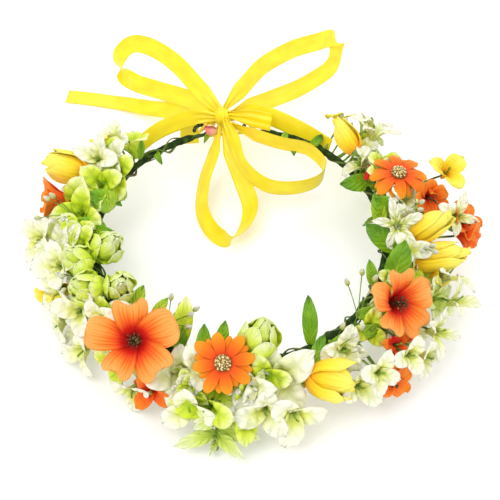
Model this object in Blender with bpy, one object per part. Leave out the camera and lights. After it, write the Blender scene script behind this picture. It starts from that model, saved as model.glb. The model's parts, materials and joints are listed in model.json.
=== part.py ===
"""Flower crown: an open wire hoop wrapped in floral tape, with artificial blossoms bound
round it on short stems, and a satin ribbon that ties its two eyelets in a double bow.
Metres, +Z up. The hoop lies flat, its centre over the world origin and z = 0 under it."""

import bmesh
import bpy
from math import cos, pi, radians, sin, tau
from mathutils import Matrix, Vector

MM = 0.001
GAP = 0.3 * MM                      # air between two pieces that touch

# The hoop: a head ring for an adult, seen from above as a slight oval.
HOOP_HALF_WIDTH = 90 * MM
HOOP_HALF_DEPTH = 94 * MM
HOOP_HEIGHT = 30 * MM
WIRE_RADIUS = 1.0 * MM
TAPE_RADIUS = 2.2 * MM
EYE_RADIUS = 4.5 * MM
LEFT_END = 108                      # clock angles where the tape stops, degrees
RIGHT_END = 84

# The ribbon and its knot.
RIBBON_WIDTH = 12 * MM
RIBBON_GATHERED = 4 * MM            # its width where it is pinched by the knot
RIBBON_THICKNESS = 0.6 * MM
KNOT = Vector((-12, 98, 39)) * MM
KNOT_RADIUS = 6 * MM

# Stems and the pegs that the turning heads are pushed on.
STEM_RADIUS = 1.1 * MM
CALYX_RADIUS = 3.2 * MM
PEG_RADIUS = 1.0 * MM
PEG_LENGTH = 5 * MM
SOCKET_RADIUS = PEG_RADIUS + GAP
SOCKET_DEPTH = PEG_LENGTH + GAP

for thing in list(bpy.data.objects):
    bpy.data.objects.remove(thing, do_unlink=True)


# ---------------------------------------------------------------- materials
def paint(name, colour, roughness=0.6, metallic=0.0):
    """One Principled material: colour, roughness and metallic value."""
    material = bpy.data.materials.new(name)
    material.use_nodes = True
    shader = material.node_tree.nodes["Principled BSDF"]
    shader.inputs["Base Color"].default_value = (*colour, 1.0)
    shader.inputs["Roughness"].default_value = roughness
    shader.inputs["Metallic"].default_value = metallic
    material.diffuse_color = (*colour, 1.0)
    return material


WIRE_COLOUR = (0.05, 0.09, 0.03)
TAPE_COLOUR = (0.03, 0.08, 0.01)
RIBBON_COLOUR = (0.95, 0.78, 0.02)
HIBISCUS_COLOUR = (0.93, 0.20, 0.03)
STAMEN_COLOUR = (0.10, 0.07, 0.02)
ZINNIA_COLOUR = (1.00, 0.19, 0.01)
DISC_COLOUR = (0.55, 0.42, 0.14)
TRUMPET_COLOUR = (0.90, 0.12, 0.02)
BUD_COLOUR = (1.00, 0.62, 0.06)
CREAM_COLOUR = (0.80, 0.84, 0.56)
HOP_COLOUR = (0.62, 0.80, 0.22)
STEM_COLOUR = (0.12, 0.24, 0.03)
LEAF_COLOUR = (0.11, 0.32, 0.02)


# ---------------------------------------------------------------- placing
def hoop_point(clock):
    """A point on the hoop's centre line; clock 0 is +X, 90 is the back, 270 the front."""
    angle = radians(clock)
    return Vector((HOOP_HALF_WIDTH * cos(angle), HOOP_HALF_DEPTH * sin(angle), HOOP_HEIGHT))


def hoop_outward(clock):
    """The level direction square to the hoop, away from the head."""
    angle = radians(clock)
    return Vector((HOOP_HALF_DEPTH * cos(angle), HOOP_HALF_WIDTH * sin(angle), 0)).normalized()


def around(clock, outward, up):
    """A place beside the hoop, by its clock angle and its offsets in millimetres."""
    return hoop_point(clock) + hoop_outward(clock) * outward * MM + Vector((0, 0, up * MM))


def heading(azimuth, elevation):
    """A unit direction from its angle in plan and its angle above level, in degrees."""
    level = cos(radians(elevation))
    return Vector((level * cos(radians(azimuth)), level * sin(radians(azimuth)), sin(radians(elevation))))


def foot(clock, direction):
    """Where a stalk that leaves in this direction starts on the taped hoop."""
    outward = hoop_outward(clock)
    lift = Vector((0, 0, direction.z)) + outward * direction.dot(outward)
    return hoop_point(clock) + lift.normalized() * (TAPE_RADIUS + GAP)


def place(thing, location, direction):
    """Put an object's own origin at a location, with its +Z along a direction."""
    thing.rotation_mode = "QUATERNION"
    thing.location = location
    thing.rotation_quaternion = direction.to_track_quat("Z", "Y")
    return thing


def pivot(name, location):
    """An empty on a joint's axis, which its moving pieces hang from."""
    empty = bpy.data.objects.new(name, None)
    empty.empty_display_size = 10 * MM
    empty.location = location
    bpy.context.collection.objects.link(empty)
    return empty


def keep(name, mesh_builder, material, smooth=True):
    """Turn a finished bmesh into a named object with its material."""
    bmesh.ops.recalc_face_normals(mesh_builder, faces=mesh_builder.faces[:])
    mesh = bpy.data.meshes.new(name)
    mesh_builder.to_mesh(mesh)
    mesh_builder.free()
    if smooth:
        mesh.shade_smooth()
        mesh.set_sharp_from_angle(angle=radians(50))
    mesh.materials.append(material)
    thing = bpy.data.objects.new(name, mesh)
    bpy.context.collection.objects.link(thing)
    return thing


# ---------------------------------------------------------------- shapes
def turned(name, profile, sides, material, lobes=0, lobe_depth=0.0, lobe_from=0.0):
    """A closed body spun about local Z from a profile of (radius, height) in millimetres.
    Past the radius lobe_from it is notched between its lobes, as petals are."""
    bm = bmesh.new()
    verts = [bm.verts.new((radius * MM, 0, height * MM)) for radius, height in profile]
    edges = [bm.edges.new(pair) for pair in zip(verts, verts[1:])]
    if profile[0][0] > 0:
        edges.append(bm.edges.new((verts[-1], verts[0])))
    bmesh.ops.spin(
        bm, geom=verts + edges, cent=(0, 0, 0), axis=(0, 0, 1), angle=tau, steps=sides, use_merge=True
    )
    bmesh.ops.remove_doubles(bm, verts=bm.verts[:], dist=1e-6)
    for vert in bm.verts:
        radius = vert.co.xy.length
        if lobes and radius > lobe_from * MM:
            angle = vert.co.xy.angle_signed(Vector((1, 0)))
            notch = 1 - lobe_depth * (1 - abs(cos(lobes * angle / 2)))
            scale = (lobe_from * MM + (radius - lobe_from * MM) * notch) / radius
            vert.co.x *= scale
            vert.co.y *= scale
    return keep(name, bm, material)


def smooth_route(points, steps):
    """Catmull-Rom points through a hand-set route, with steps on each span."""
    ends = [points[0] * 2 - points[1], *points, points[-1] * 2 - points[-2]]
    route = []
    for before, start, end, after in zip(ends, ends[1:], ends[2:], ends[3:]):
        for step in range(steps):
            t = step / steps
            route.append(
                0.5
                * (
                    start * 2
                    + (end - before) * t
                    + (before * 2 - start * 5 + end * 4 - after) * t * t
                    + (start * 3 - before - end * 3 + after) * t * t * t
                )
            )
    route.append(points[-1].copy())
    return route


def wire(name, points, radius, material, sides=2, radii=None):
    """A round rod along world points; its origin is its first point."""
    curve = bpy.data.curves.new(name, "CURVE")
    curve.dimensions = "3D"
    curve.bevel_depth = radius
    curve.bevel_resolution = sides
    curve.use_fill_caps = True
    spline = curve.splines.new("POLY")
    spline.points.add(len(points) - 1)
    for index, point in enumerate(points):
        spline.points[index].co = (*(point - points[0]), 1)
        spline.points[index].radius = radii[index] if radii else 1.0
    curve.materials.append(material)
    thing = bpy.data.objects.new(name, curve)
    thing.location = points[0]
    bpy.context.collection.objects.link(thing)
    return thing


def swept(name, centres, sections, material, origin):
    """A closed body through a list of equal cross-sections, each a list of offsets."""
    bm = bmesh.new()
    rings = []
    for centre, section in zip(centres, sections):
        ring = [bm.verts.new(centre + offset - origin) for offset in section]
        rings.append([bm.edges.new((a, b)) for a, b in zip(ring, ring[1:] + ring[:1])])
    for ring, following in zip(rings, rings[1:]):
        bmesh.ops.bridge_loops(bm, edges=ring + following)
    bmesh.ops.contextual_create(bm, geom=rings[0])
    bmesh.ops.contextual_create(bm, geom=rings[-1])
    thing = keep(name, bm, material)
    thing.location = origin
    return thing


def tangents(route):
    """The direction of travel at each point of a route."""
    return [(b - a).normalized() for a, b in zip([route[0], *route[:-1]], [*route[1:], route[-1]])]


# ---------------------------------------------------------------- hoop
def arc(start, end, steps):
    """Hoop points between two clock angles."""
    return [hoop_point(start + (end - start) * step / steps) for step in range(steps + 1)]


def eye(clock, turn):
    """The wire's end bent round beside the hoop line, almost back onto itself."""
    start = hoop_point(clock)
    outward = hoop_outward(clock)
    onward = Vector((0, 0, turn)).cross(outward)
    centre = start + outward * EYE_RADIUS
    points = []
    for step in range(1, 11):
        angle = radians(27 * step)
        points.append(centre + (onward * sin(angle) - outward * cos(angle)) * EYE_RADIUS)
    return points


def build_hoop():
    """One wire from eyelet to eyelet, and the floral tape wound round it."""
    run = [hoop_point(LEFT_END - 2), *arc(LEFT_END, RIGHT_END + 360, 44), hoop_point(RIGHT_END + 2)]
    left_eye = eye(LEFT_END - 2, -1)
    right_eye = eye(RIGHT_END + 2, 1)
    steel = paint("green_coated_wire", WIRE_COLOUR, 0.4, 0.1)
    wire("hoop_wire", left_eye[::-1] + run + right_eye, WIRE_RADIUS, steel, sides=1)

    bm = bmesh.new()
    steps = 44
    loops = []
    for step in range(steps + 1):
        clock = LEFT_END + (RIGHT_END + 360 - LEFT_END) * step / steps
        ring = []
        for side in range(6):
            angle = tau * side / 6
            offset = hoop_outward(clock) * cos(angle) + Vector((0, 0, sin(angle)))
            ring.append(bm.verts.new(hoop_point(clock) + offset * TAPE_RADIUS))
        loops.append([bm.edges.new((a, b)) for a, b in zip(ring, ring[1:] + ring[:1])])
    for ring, following in zip(loops, loops[1:]):
        bmesh.ops.bridge_loops(bm, edges=ring + following)
    tape = keep("floral_tape", bm, paint("floral_tape", TAPE_COLOUR, 0.75))
    wall = tape.modifiers.new("wall", "SOLIDIFY")
    wall.thickness = TAPE_RADIUS - WIRE_RADIUS - GAP
    wall.offset = -1


# ---------------------------------------------------------------- ribbon
def ribbon(name, route, leans, pinched=(True, True), parent=None):
    """A flat band along a route in millimetres. leans are the directions of its width,
    spread evenly along it; pinched says which ends are gathered into the knot."""
    route = smooth_route([Vector(point) * MM for point in route], 2)
    last = len(route) - 1
    sections = []
    for index, along in enumerate(tangents(route)):
        place_in = index / last * (len(leans) - 1)
        which = min(int(place_in), len(leans) - 2)
        lean = Vector(leans[which]).lerp(Vector(leans[which + 1]), place_in - which)
        across = (lean - along * lean.dot(along)).normalized()
        through = along.cross(across)
        from_knot = min(index if pinched[0] else last, last - index if pinched[1] else last)
        width = min(RIBBON_WIDTH, RIBBON_GATHERED + from_knot * 3 * MM)
        side, face = across * width / 2, through * RIBBON_THICKNESS / 2
        sections.append([side + face, side - face, -side - face, -side + face])
    origin = parent.location if parent else route[0]
    thing = swept(name, route, sections, satin, origin)
    if parent:
        thing.location = (0, 0, 0)
        thing.parent = parent
    return thing


def build_ribbon():
    """The knot, the tie through both eyelets, and every strand that leaves the knot."""
    bm = bmesh.new()
    bmesh.ops.create_uvsphere(bm, u_segments=10, v_segments=7, radius=KNOT_RADIUS)
    bmesh.ops.scale(bm, verts=bm.verts[:], vec=(0.85, 1.0, 0.95))
    keep("ribbon_knot", bm, satin).location = KNOT
    left, right = hoop_point(LEFT_END - 2), hoop_point(RIGHT_END + 2)
    left += hoop_outward(LEFT_END - 2) * EYE_RADIUS
    right += hoop_outward(RIGHT_END + 2) * EYE_RADIUS
    drop, rise = Vector((0, 0, -5 * MM)), Vector((0, 0, 4 * MM))
    tie = [left + rise + Vector((2 * MM, 0, 0)), left, left + drop, right + drop, right]
    tie.append(right + rise - Vector((2 * MM, 0, 0)))
    route = smooth_route(tie, 2)
    strand = Vector((0, 1.2, 0)) * MM
    sections = []
    for along in tangents(route):
        through = along.cross(strand).normalized() * 0.6 * MM
        sections.append([strand + through, strand - through, -strand - through, -strand + through])
    swept("ribbon_tie", route, sections, satin, route[0])

    upper = pivot("bow_upper_pivot", KNOT)
    lower = pivot("bow_lower_pivot", KNOT)
    ribbon(
        "loop_upper_left",
        [(-17, 105, 41), (-28, 118, 46), (-44, 138, 50), (-61, 154, 49), (-74, 162, 44), (-83, 161, 34),
         (-82, 156, 24), (-73, 151, 19), (-55, 139, 23), (-34, 122, 31), (-19, 106, 36)],
        [(0.35, 0.6, 0.72)] * 2, parent=upper,
    )
    ribbon(
        "tail_long",
        [(-19, 105, 31), (-32, 115, 25), (-48, 128, 15), (-66, 140, 6), (-83, 148, 2), (-104, 153, 1),
         (-121, 156, 1)],
        [(0, 0.77, 0.64), (0, 1, 0.1), (0, 1, 0)], pinched=(True, False), parent=upper,
    )
    ribbon(
        "loop_upper_right",
        [(-8, 106, 42), (1, 118, 46), (14, 136, 48), (33, 155, 45), (52, 171, 38), (63, 181, 32),
         (66, 180, 24), (61, 167, 17), (40, 147, 18), (19, 127, 26), (-2, 108, 34)],
        [(-0.4, 0.35, 0.85)] * 2, parent=upper,
    )
    ribbon(
        "loop_lower_front",
        [(-14, 88, 34), (-18, 76, 27), (-24, 61, 15), (-25, 44, 9), (-18, 27, 7), (-7, 20, 7), (3, 30, 9),
         (6, 44, 13), (1, 59, 20), (-5, 74, 27), (-9, 87, 35)],
        [(0.75, 0.28, 0.6)] * 2, parent=lower,
    )
    ribbon(
        "loop_lower_right",
        [(-7, 88, 42), (-4, 74, 39), (2, 59, 33), (16, 49, 27), (35, 49, 24), (50, 55, 25), (54, 65, 28),
         (44, 74, 33), (27, 77, 36), (10, 82, 38), (-2, 90, 38)],
        [(0.8, 0.3, 0.3), (0.15, 0.35, 0.9), (0.1, 0.2, 1), (0, 0.4, 0.9)], parent=lower,
    )
    ribbon(
        "side_run_left",
        [(-18, 97, 40), (-30, 97, 40), (-45, 91, 39), (-57, 84, 37), (-66, 76, 35)],
        [(0, 0.4, 0.9)] * 2, pinched=(True, False),
    )
    ribbon(
        "side_run_right",
        [(-5, 100, 38), (6, 104, 38), (20, 101, 36), (36, 95, 32), (48, 88, 30), (58, 79, 30)],
        [(0, 0.5, 0.8)] * 2, pinched=(True, False),
    )
    ribbon(
        "tail_short", [(-20, 98, 33), (-28, 103, 33), (-34, 103, 23), (-34, 99, 13)],
        [(0.9, 0.2, 0.3)] * 2, pinched=(True, False),
    )
    ribbon(
        "tail_stub", [(-5, 96, 42), (6, 94, 42), (20, 91, 41)],
        [(0, 0.5, 0.85)] * 2, pinched=(True, False),
    )


# ---------------------------------------------------------------- heads
def stem(name, clock, base, facing, peg=True):
    """A bendable stem from the hoop to the base of a head, with its calyx and its peg."""
    toward = (base - hoop_point(clock)).normalized()
    start = foot(clock, toward)
    lead = (base - start).length * 0.4
    out_of_hoop = (start - hoop_point(clock)).normalized()
    neck = base - facing * 2 * MM
    handles = start, start + out_of_hoop * lead, neck - facing * lead, neck
    points, radii = [], []
    for step in range(5):
        t = step / 4
        weights = (1 - t) ** 3, 3 * t * (1 - t) ** 2, 3 * t * t * (1 - t), t ** 3
        points.append(sum((h * w for h, w in zip(handles, weights)), Vector()))
        radii.append(1.0)
    points.append(base - facing * GAP)
    radii.append(CALYX_RADIUS / STEM_RADIUS)
    if peg:
        for height in (0, PEG_LENGTH):
            points.append(base + facing * (height + 0.05 * MM - GAP))
            radii.append(PEG_RADIUS / STEM_RADIUS)
    return wire(name, points, STEM_RADIUS, leaf_green_stem, sides=1, radii=radii)


def head(name, profile, petals, material, axis_empty, lobe_depth, lobe_from, sides_per_petal=4):
    """A turning head round a socket, hung from the empty on its joint's axis."""
    thing = turned(name, profile, petals * sides_per_petal, material, petals, lobe_depth, lobe_from)
    thing.parent = axis_empty
    return thing


def socketed(outer, inner):
    """A funnel's profile: blind socket from below, outer skin up, rim, throat back down."""
    top = SOCKET_DEPTH / MM
    return [(0, top), (SOCKET_RADIUS / MM, top), (SOCKET_RADIUS / MM, 0), *outer, *inner]


def build_hibiscus(side, clock, base, azimuth, elevation, spread):
    """A wide funnel of five petals with a brush of stamens in its throat."""
    facing = heading(azimuth, elevation)
    axis_empty = place(pivot(f"hibiscus_{side}_pivot", base), base, facing)
    outer = [(3.2, 0), (5, 8), (spread * 0.55, 16), (spread, 20)]
    inner = [(spread, 21), (spread * 0.5, 17.4), (4.2, 10), (3, 7), (0, 7)]
    head(f"hibiscus_{side}_petals", socketed(outer, inner), 5, hibiscus_red, axis_empty, 0.22, 8, 5)
    brush = turned(
        f"hibiscus_{side}_stamens", [(0, 7.3), (1.2, 7.3), (1.2, 14), (2.8, 20), (1.5, 22), (0, 22)], 8,
        stamen_brown,
    )
    brush.parent = axis_empty
    stem(f"hibiscus_{side}_stem", clock, base, facing)


def build_zinnia(side, clock, base, azimuth, elevation, spread):
    """A daisy of two petal layers pinned by a beaded button, pushed on a stem."""
    facing = heading(azimuth, elevation)
    axis_empty = place(pivot(f"zinnia_{side}_pivot", base), base, facing)
    petals = [(1.9, 0), (4, 0), (spread * 0.6, 2), (spread, 3.4), (spread, 4.2), (spread * 0.6, 4), (4, 3), (1.9, 3)]
    head(f"zinnia_{side}_petals", petals, 10, zinnia_orange, axis_empty, 0.3, 5, 3)
    button = [
        (0, 5.4), (SOCKET_RADIUS / MM, 5.4), (SOCKET_RADIUS / MM, 0), (1.6, 0), (1.6, 3.3), (4.6, 3.4),
        (4.4, 5.6), (2.6, 7.0), (0, 7.4),
    ]
    disc = turned(f"zinnia_{side}_disc", button, 10, disc_gold)
    disc.parent = axis_empty
    stem(f"zinnia_{side}_stem", clock, base, facing)


def build_trumpet(side, clock, base, azimuth, elevation, spread, depth):
    """A narrow orange trumpet on its own stem."""
    facing = heading(azimuth, elevation)
    axis_empty = place(pivot(f"trumpet_{side}_pivot", base), base, facing)
    outer = [(3.2, 0), (4.4, 7), (spread * 0.62, depth * 0.62), (spread, depth)]
    inner = [(spread - 0.8, depth + 0.6), (spread * 0.5, depth * 0.64), (3.2, 8), (0, 7)]
    head(f"trumpet_{side}_petals", socketed(outer, inner), 5, trumpet_red, axis_empty, 0.3, 6, 4)
    stem(f"trumpet_{side}_stem", clock, base, facing)


def build_rosebud(side, clock, base, azimuth, elevation, girth, length):
    """A furled yellow bud glued on its calyx."""
    facing = heading(azimuth, elevation)
    bud = turned(
        f"rosebud_{side}_bud",
        [(0, 0), (3, 0), (girth * 0.8, length * 0.2), (girth, length * 0.5), (girth * 0.7, length * 0.85),
         (0, length)],
        10, bud_yellow, 5, 0.1, 2,
    )
    place(bud, base, facing)
    stem(f"rosebud_{side}_stem", clock, base, facing, peg=False)


def stalked(name, clock, azimuth, elevation, stalk, spread, depth, petals, material):
    """A cup-shaped blossom moulded in one piece with its stalk, which starts on the hoop."""
    facing = heading(azimuth, elevation)
    profile = [
        (0, 0), (1.1, 0), (1.1, stalk), (2.6, stalk + 2), (spread * 0.7, stalk + depth * 0.6),
        (spread, stalk + depth), (spread - 1, stalk + depth + 0.5), (spread * 0.5, stalk + depth * 0.65),
        (0, stalk + 3.5),
    ]
    thing = turned(name, profile, petals * 3, material, petals, 0.35, 4)
    return place(thing, foot(clock, facing), facing)


def hop(name, clock, azimuth, elevation, stalk, girth, length):
    """A hop-like cone of overlapping scales on a short stalk."""
    facing = heading(azimuth, elevation)
    profile = [(0, 0), (1.1, 0), (1.1, stalk), (girth * 0.75, stalk + 1)]
    for tier, width in enumerate((1.0, 0.85, 0.55)):
        height = stalk + length * (0.3 + 0.27 * tier)
        profile.append((girth * width, height))
        profile.append((girth * width * 0.8, height + 1.4))
    profile.append((0, stalk + length))
    return place(turned(name, profile, 8, hop_green), foot(clock, facing), facing)


def leaf(name, clock, azimuth, elevation, length, width, bend):
    """A lens-shaped leaf on a short petiole; bend is how far its tip drops, in degrees."""
    facing = heading(azimuth, elevation)
    start = foot(clock, facing)
    half_widths = (0.9, 0.9, 0.62 * width, width, 0.8 * width, 0.9)
    sideways = facing.cross(Vector((0, 0, 1))).normalized()
    centres, sections = [start], []
    for step, half_width in enumerate(half_widths):
        along = heading(azimuth, elevation - bend * step / 5)
        if step:
            centres.append(centres[-1] + along * length * MM / 5)
        up = sideways.cross(along) * 0.9 * MM
        side = sideways * half_width * MM
        sections.append([side, up, -side, -up])
    return swept(name, centres, sections, leaf_green, start)


# ---------------------------------------------------------------- assembly
satin = paint("yellow_satin", RIBBON_COLOUR, 0.35)
hibiscus_red = paint("hibiscus_petal", HIBISCUS_COLOUR)
stamen_brown = paint("stamen_olive", STAMEN_COLOUR, 0.7)
zinnia_orange = paint("zinnia_petal", ZINNIA_COLOUR)
disc_gold = paint("zinnia_disc", DISC_COLOUR, 0.7)
trumpet_red = paint("trumpet_petal", TRUMPET_COLOUR)
bud_yellow = paint("rosebud_petal", BUD_COLOUR)
cream = paint("cream_petal", CREAM_COLOUR)
hop_green = paint("hop_scale", HOP_COLOUR)
leaf_green_stem = paint("stem_plastic", STEM_COLOUR, 0.5)
leaf_green = paint("leaf_fabric", LEAF_COLOUR)

build_hoop()
build_ribbon()

# side, clock, base (outward, up), facing azimuth and elevation, petal spread
build_hibiscus("left", 234, around(234, 12, 11), 268, 52, 28)
build_hibiscus("right", 326, around(326, 12, 12), 317, 40, 25)
build_zinnia("front", 265, around(265, 15, 20), 268, 55, 18)
build_zinnia("back", 19, around(19, 14, 20), 0, 85, 19)
build_trumpet("left", 166, around(166, 14, 9), 184, 8, 14, 22)
build_rosebud("back_left", 157, around(156, 14, 14), 165, 12, 8, 26)
build_rosebud("back_right", 36, around(38, 4, 16), 122, 22, 7.5, 26)
build_rosebud("front", 291, around(290, 22, 8), 345, -4, 10, 28)
build_rosebud("right", 350, around(347, 16, 8), 5, 14, 10, 34)

# name, clock, azimuth, elevation, stalk length, spread, depth, petals
BLOSSOMS = (
    ("trumpet_upper_right", 12, 18, 22, 26, 10, 14, 5, trumpet_red),
    ("trumpet_right_edge", 2, 6, 6, 38, 12, 14, 5, trumpet_red),
    ("trumpet_low_right", 313, 311, -16, 34, 10, 12, 5, trumpet_red),
    ("rosebud_low_left", 200, 195, -22, 14, 7, 14, 5, bud_yellow),
    ("blossom_back_left", 148, 150, 70, 10, 11, 12, 4, cream),
    ("blossom_left_middle", 186, 182, 6, 16, 12, 12, 4, cream),
    ("blossom_left_low", 213, 206, -30, 18, 12, 14, 3, cream),
    ("blossom_front_left", 251, 250, -14, 8, 14, 13, 4, cream),
    ("blossom_front_middle", 281, 284, 14, 12, 16, 14, 4, cream),
    ("blossom_front_right", 304, 316, 24, 14, 11, 13, 4, cream),
    ("blossom_right_low", 328, 325, -22, 24, 12, 14, 3, cream),
    ("blossom_right_edge", 339, 340, -4, 30, 12, 14, 5, cream),
    ("blossom_right_top", 358, 330, 72, 18, 12, 12, 4, cream),
    ("lily_back_right", 46, 48, 8, 22, 12, 16, 5, cream),
)
for name, clock, azimuth, elevation, stalk, spread, depth, petals, material in BLOSSOMS:
    stalked(name, clock, azimuth, elevation, stalk, spread, depth, petals, material)

# name, clock, azimuth, elevation, stalk length, girth, cone length
HOPS = (
    ("hop_left_upper", 191, 340, 62, 10, 8, 19),
    ("hop_left_outer", 198, 190, 56, 10, 8, 19),
    ("hop_left_lower", 208, 215, 50, 10, 8.5, 21),
    ("hop_front", 275, 0, 80, 10, 9.5, 26),
)
for row in HOPS:
    hop(*row)

# name, clock, azimuth, elevation, length, half width, bend
LEAVES = (
    ("leaf_front_up", 247, 78, 46, 34, 7, 20),
    ("leaf_front_right", 297, 90, 60, 30, 6, 20),
    ("leaf_right", 4, 110, 50, 26, 8, 30),
    ("leaf_rest_left", 142, 145, -38, 36, 8, 22),
    ("leaf_rest_right", 30, 30, -38, 36, 8, 22),
    ("sprig_front", 262, 268, -24, 48, 8, 20),
)
for row in LEAVES:
    leaf(*row)
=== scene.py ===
import bmesh
import bpy
import json
import random
from math import asin, cos, pi, radians, sin, tau
from mathutils import Matrix, Vector
from mathutils.geometry import interpolate_bezier


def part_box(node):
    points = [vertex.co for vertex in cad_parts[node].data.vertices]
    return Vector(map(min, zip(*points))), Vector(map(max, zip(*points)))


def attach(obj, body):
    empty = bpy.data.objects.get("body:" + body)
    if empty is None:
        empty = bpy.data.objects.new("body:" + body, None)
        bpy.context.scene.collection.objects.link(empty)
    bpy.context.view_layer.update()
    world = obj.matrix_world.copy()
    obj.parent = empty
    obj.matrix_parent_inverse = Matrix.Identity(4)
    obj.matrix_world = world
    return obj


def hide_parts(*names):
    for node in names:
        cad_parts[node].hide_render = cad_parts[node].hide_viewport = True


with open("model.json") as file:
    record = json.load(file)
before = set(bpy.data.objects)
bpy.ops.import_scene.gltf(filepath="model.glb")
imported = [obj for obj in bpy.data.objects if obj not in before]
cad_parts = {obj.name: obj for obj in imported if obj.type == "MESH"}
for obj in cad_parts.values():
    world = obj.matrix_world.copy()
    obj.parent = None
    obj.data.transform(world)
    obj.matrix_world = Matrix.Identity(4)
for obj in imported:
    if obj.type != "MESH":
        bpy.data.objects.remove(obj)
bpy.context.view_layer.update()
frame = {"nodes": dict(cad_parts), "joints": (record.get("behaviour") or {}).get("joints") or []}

# ------------------------------------------------------------------ studio
# The crown lies on a pale sweep under a large soft box and a white tent, and is seen
# from the front, looking down at it half way between level and straight above.
VIEW_ELEVATION = radians(50)
VIEW_DISTANCE = 1.0
LENS = 116
LOOK_AT = Vector((0.006, -0.0035, 0.0245))

toward_camera = Vector((0, -cos(VIEW_ELEVATION), sin(VIEW_ELEVATION)))
camera = bpy.data.objects.new("camera", bpy.data.cameras.new("camera"))
camera.data.lens = LENS
camera.location = LOOK_AT + toward_camera * VIEW_DISTANCE
camera.rotation_euler = (-toward_camera).to_track_quat("-Z", "Y").to_euler()
bpy.context.collection.objects.link(camera)
bpy.context.scene.camera = camera
bpy.context.scene.view_settings.view_transform = "Standard"

tent = bpy.data.worlds.new("tent")
tent.use_nodes = True
tent.node_tree.nodes["Background"].inputs["Color"].default_value = (1.0, 1.0, 1.0, 1)
tent.node_tree.nodes["Background"].inputs["Strength"].default_value = 0.92
bpy.context.scene.world = tent

# name, place, width, watts
LIGHTS = (
    ("key_box", (-0.5, -0.5, 1.1), 0.7, 5.5),
    ("fill_box", (0.9, -0.3, 0.8), 0.9, 2.2),
    ("back_box", (0.1, 0.9, 0.9), 0.8, 3.5),
)
for name, place, width, watts in LIGHTS:
    lamp = bpy.data.lights.new(name, "AREA")
    lamp.size = width
    lamp.energy = watts
    box = bpy.data.objects.new(name, lamp)
    box.location = place
    box.rotation_euler = (-Vector(place)).to_track_quat("-Z", "Y").to_euler()
    bpy.context.collection.objects.link(box)


class Value:
    """A number, colour or vector inside a material; arithmetic on it adds the nodes."""

    def __init__(self, finish, socket):
        self.finish = finish
        self.socket = socket

    def math(self, operation, *terms):
        inputs = dict(enumerate(terms))
        return self.finish.node("ShaderNodeMath", {"operation": operation}, inputs)

    def __add__(self, other):
        return self.math("ADD", self, other)

    def __sub__(self, other):
        return self.math("SUBTRACT", self, other)

    def __rsub__(self, other):
        return self.math("SUBTRACT", other, self)

    def __mul__(self, other):
        return self.math("MULTIPLY", self, other)

    def __pow__(self, other):
        return self.math("POWER", self, other)

    __radd__ = __add__
    __rmul__ = __mul__

    def sine(self):
        return self.math("SINE", self)

    def size(self):
        return self.math("ABSOLUTE", self)

    def held(self):
        """Kept between 0 and 1."""
        return self.finish.node(
            "ShaderNodeMath", {"operation": "ADD", "use_clamp": True}, {0: self, 1: 0.0}
        )


class Finish:
    """One Principled material; what is the same all over is set on the shader itself."""

    def __init__(self, name, **constants):
        self.material = bpy.data.materials.new(name)
        self.material.use_nodes = True
        self.tree = self.material.node_tree
        self.shader = self.tree.nodes["Principled BSDF"]
        for socket, value in constants.items():
            self.shader.inputs[socket.replace("_", " ")].default_value = value

    def node(self, kind, settings=None, inputs=None, out=0, stops=()):
        """Any shader node: its settings first, then the values or links of its sockets."""
        node = self.tree.nodes.new(kind)
        for name, value in (settings or {}).items():
            setattr(node, name, value)
        for index, (position, colour) in enumerate(stops):
            ramp = node.color_ramp.elements
            stop = ramp[index] if index < 2 else ramp.new(position)
            stop.position = position
            stop.color = (*colour, 1)
        for socket, value in (inputs or {}).items():
            if isinstance(value, Value):
                self.tree.links.new(value.socket, node.inputs[socket])
            else:
                node.inputs[socket].default_value = value
        return Value(self, node.outputs[out])

    def place(self):
        """Where a point is on the piece, in metres."""
        return self.node("ShaderNodeTexCoord", out="Object")

    def across_along(self):
        """A petal's or ribbon's own two coordinates, across it and along it."""
        uv = self.node("ShaderNodeTexCoord", out="UV")
        parts = self.node("ShaderNodeSeparateXYZ", inputs={0: uv})
        return parts, Value(self, parts.socket.node.outputs[1])

    def noise(self, vector, scale, detail=2.0, roughness=0.5):
        inputs = {"Vector": vector, "Scale": scale, "Detail": detail, "Roughness": roughness}
        return self.node("ShaderNodeTexNoise", inputs=inputs)

    def ramp(self, factor, *stops):
        return self.node("ShaderNodeValToRGB", inputs={0: factor}, stops=stops)

    def mix(self, factor, one, other, blend="MIX"):
        """Two colours mixed; a plain tuple is a fixed colour."""
        colours = [c if isinstance(c, Value) else (*c, 1) for c in (one, other)]
        settings = {"data_type": "RGBA", "blend_type": blend}
        return self.node("ShaderNodeMix", settings, {0: factor, 6: colours[0], 7: colours[1]}, out=2)

    def vector(self, x, y, z=0.0):
        return self.node("ShaderNodeCombineXYZ", inputs={0: x, 1: y, 2: z})

    def bump(self, height, distance, strength=1.0):
        inputs = {"Height": height, "Distance": distance, "Strength": strength}
        self.feed("Normal", self.node("ShaderNodeBump", inputs=inputs))

    def feed(self, socket, value):
        self.tree.links.new(value.socket, self.shader.inputs[socket])


def mottled(name, scale, detail, stops, grain=0, depth=0.0, **constants):
    """Moulded or powdery stuff: one mottled run of colour over a fine grain."""
    finish = Finish(name, **constants)
    finish.feed("Base Color", finish.ramp(finish.noise(finish.place(), scale, detail), *stops))
    if grain:
        finish.bump(finish.noise(finish.place(), grain), depth)
    return finish


# The sweep glows faintly through its emission: painted light that lifts the shadows cast on it.
paper = mottled(
    "pale_sweep", 6, 2, ((0, (0.95,) * 3), (1, (0.97,) * 3)), Roughness=0.9, Emission_Strength=0.10,
)
sweep = bpy.data.objects.new("sweep", bpy.data.meshes.new("sweep"))
bm = bmesh.new()
bmesh.ops.create_grid(bm, x_segments=1, y_segments=1, size=4)
bm.to_mesh(sweep.data)
bm.free()
sweep.data.materials.append(paper.material)
bpy.context.collection.objects.link(sweep)

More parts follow.
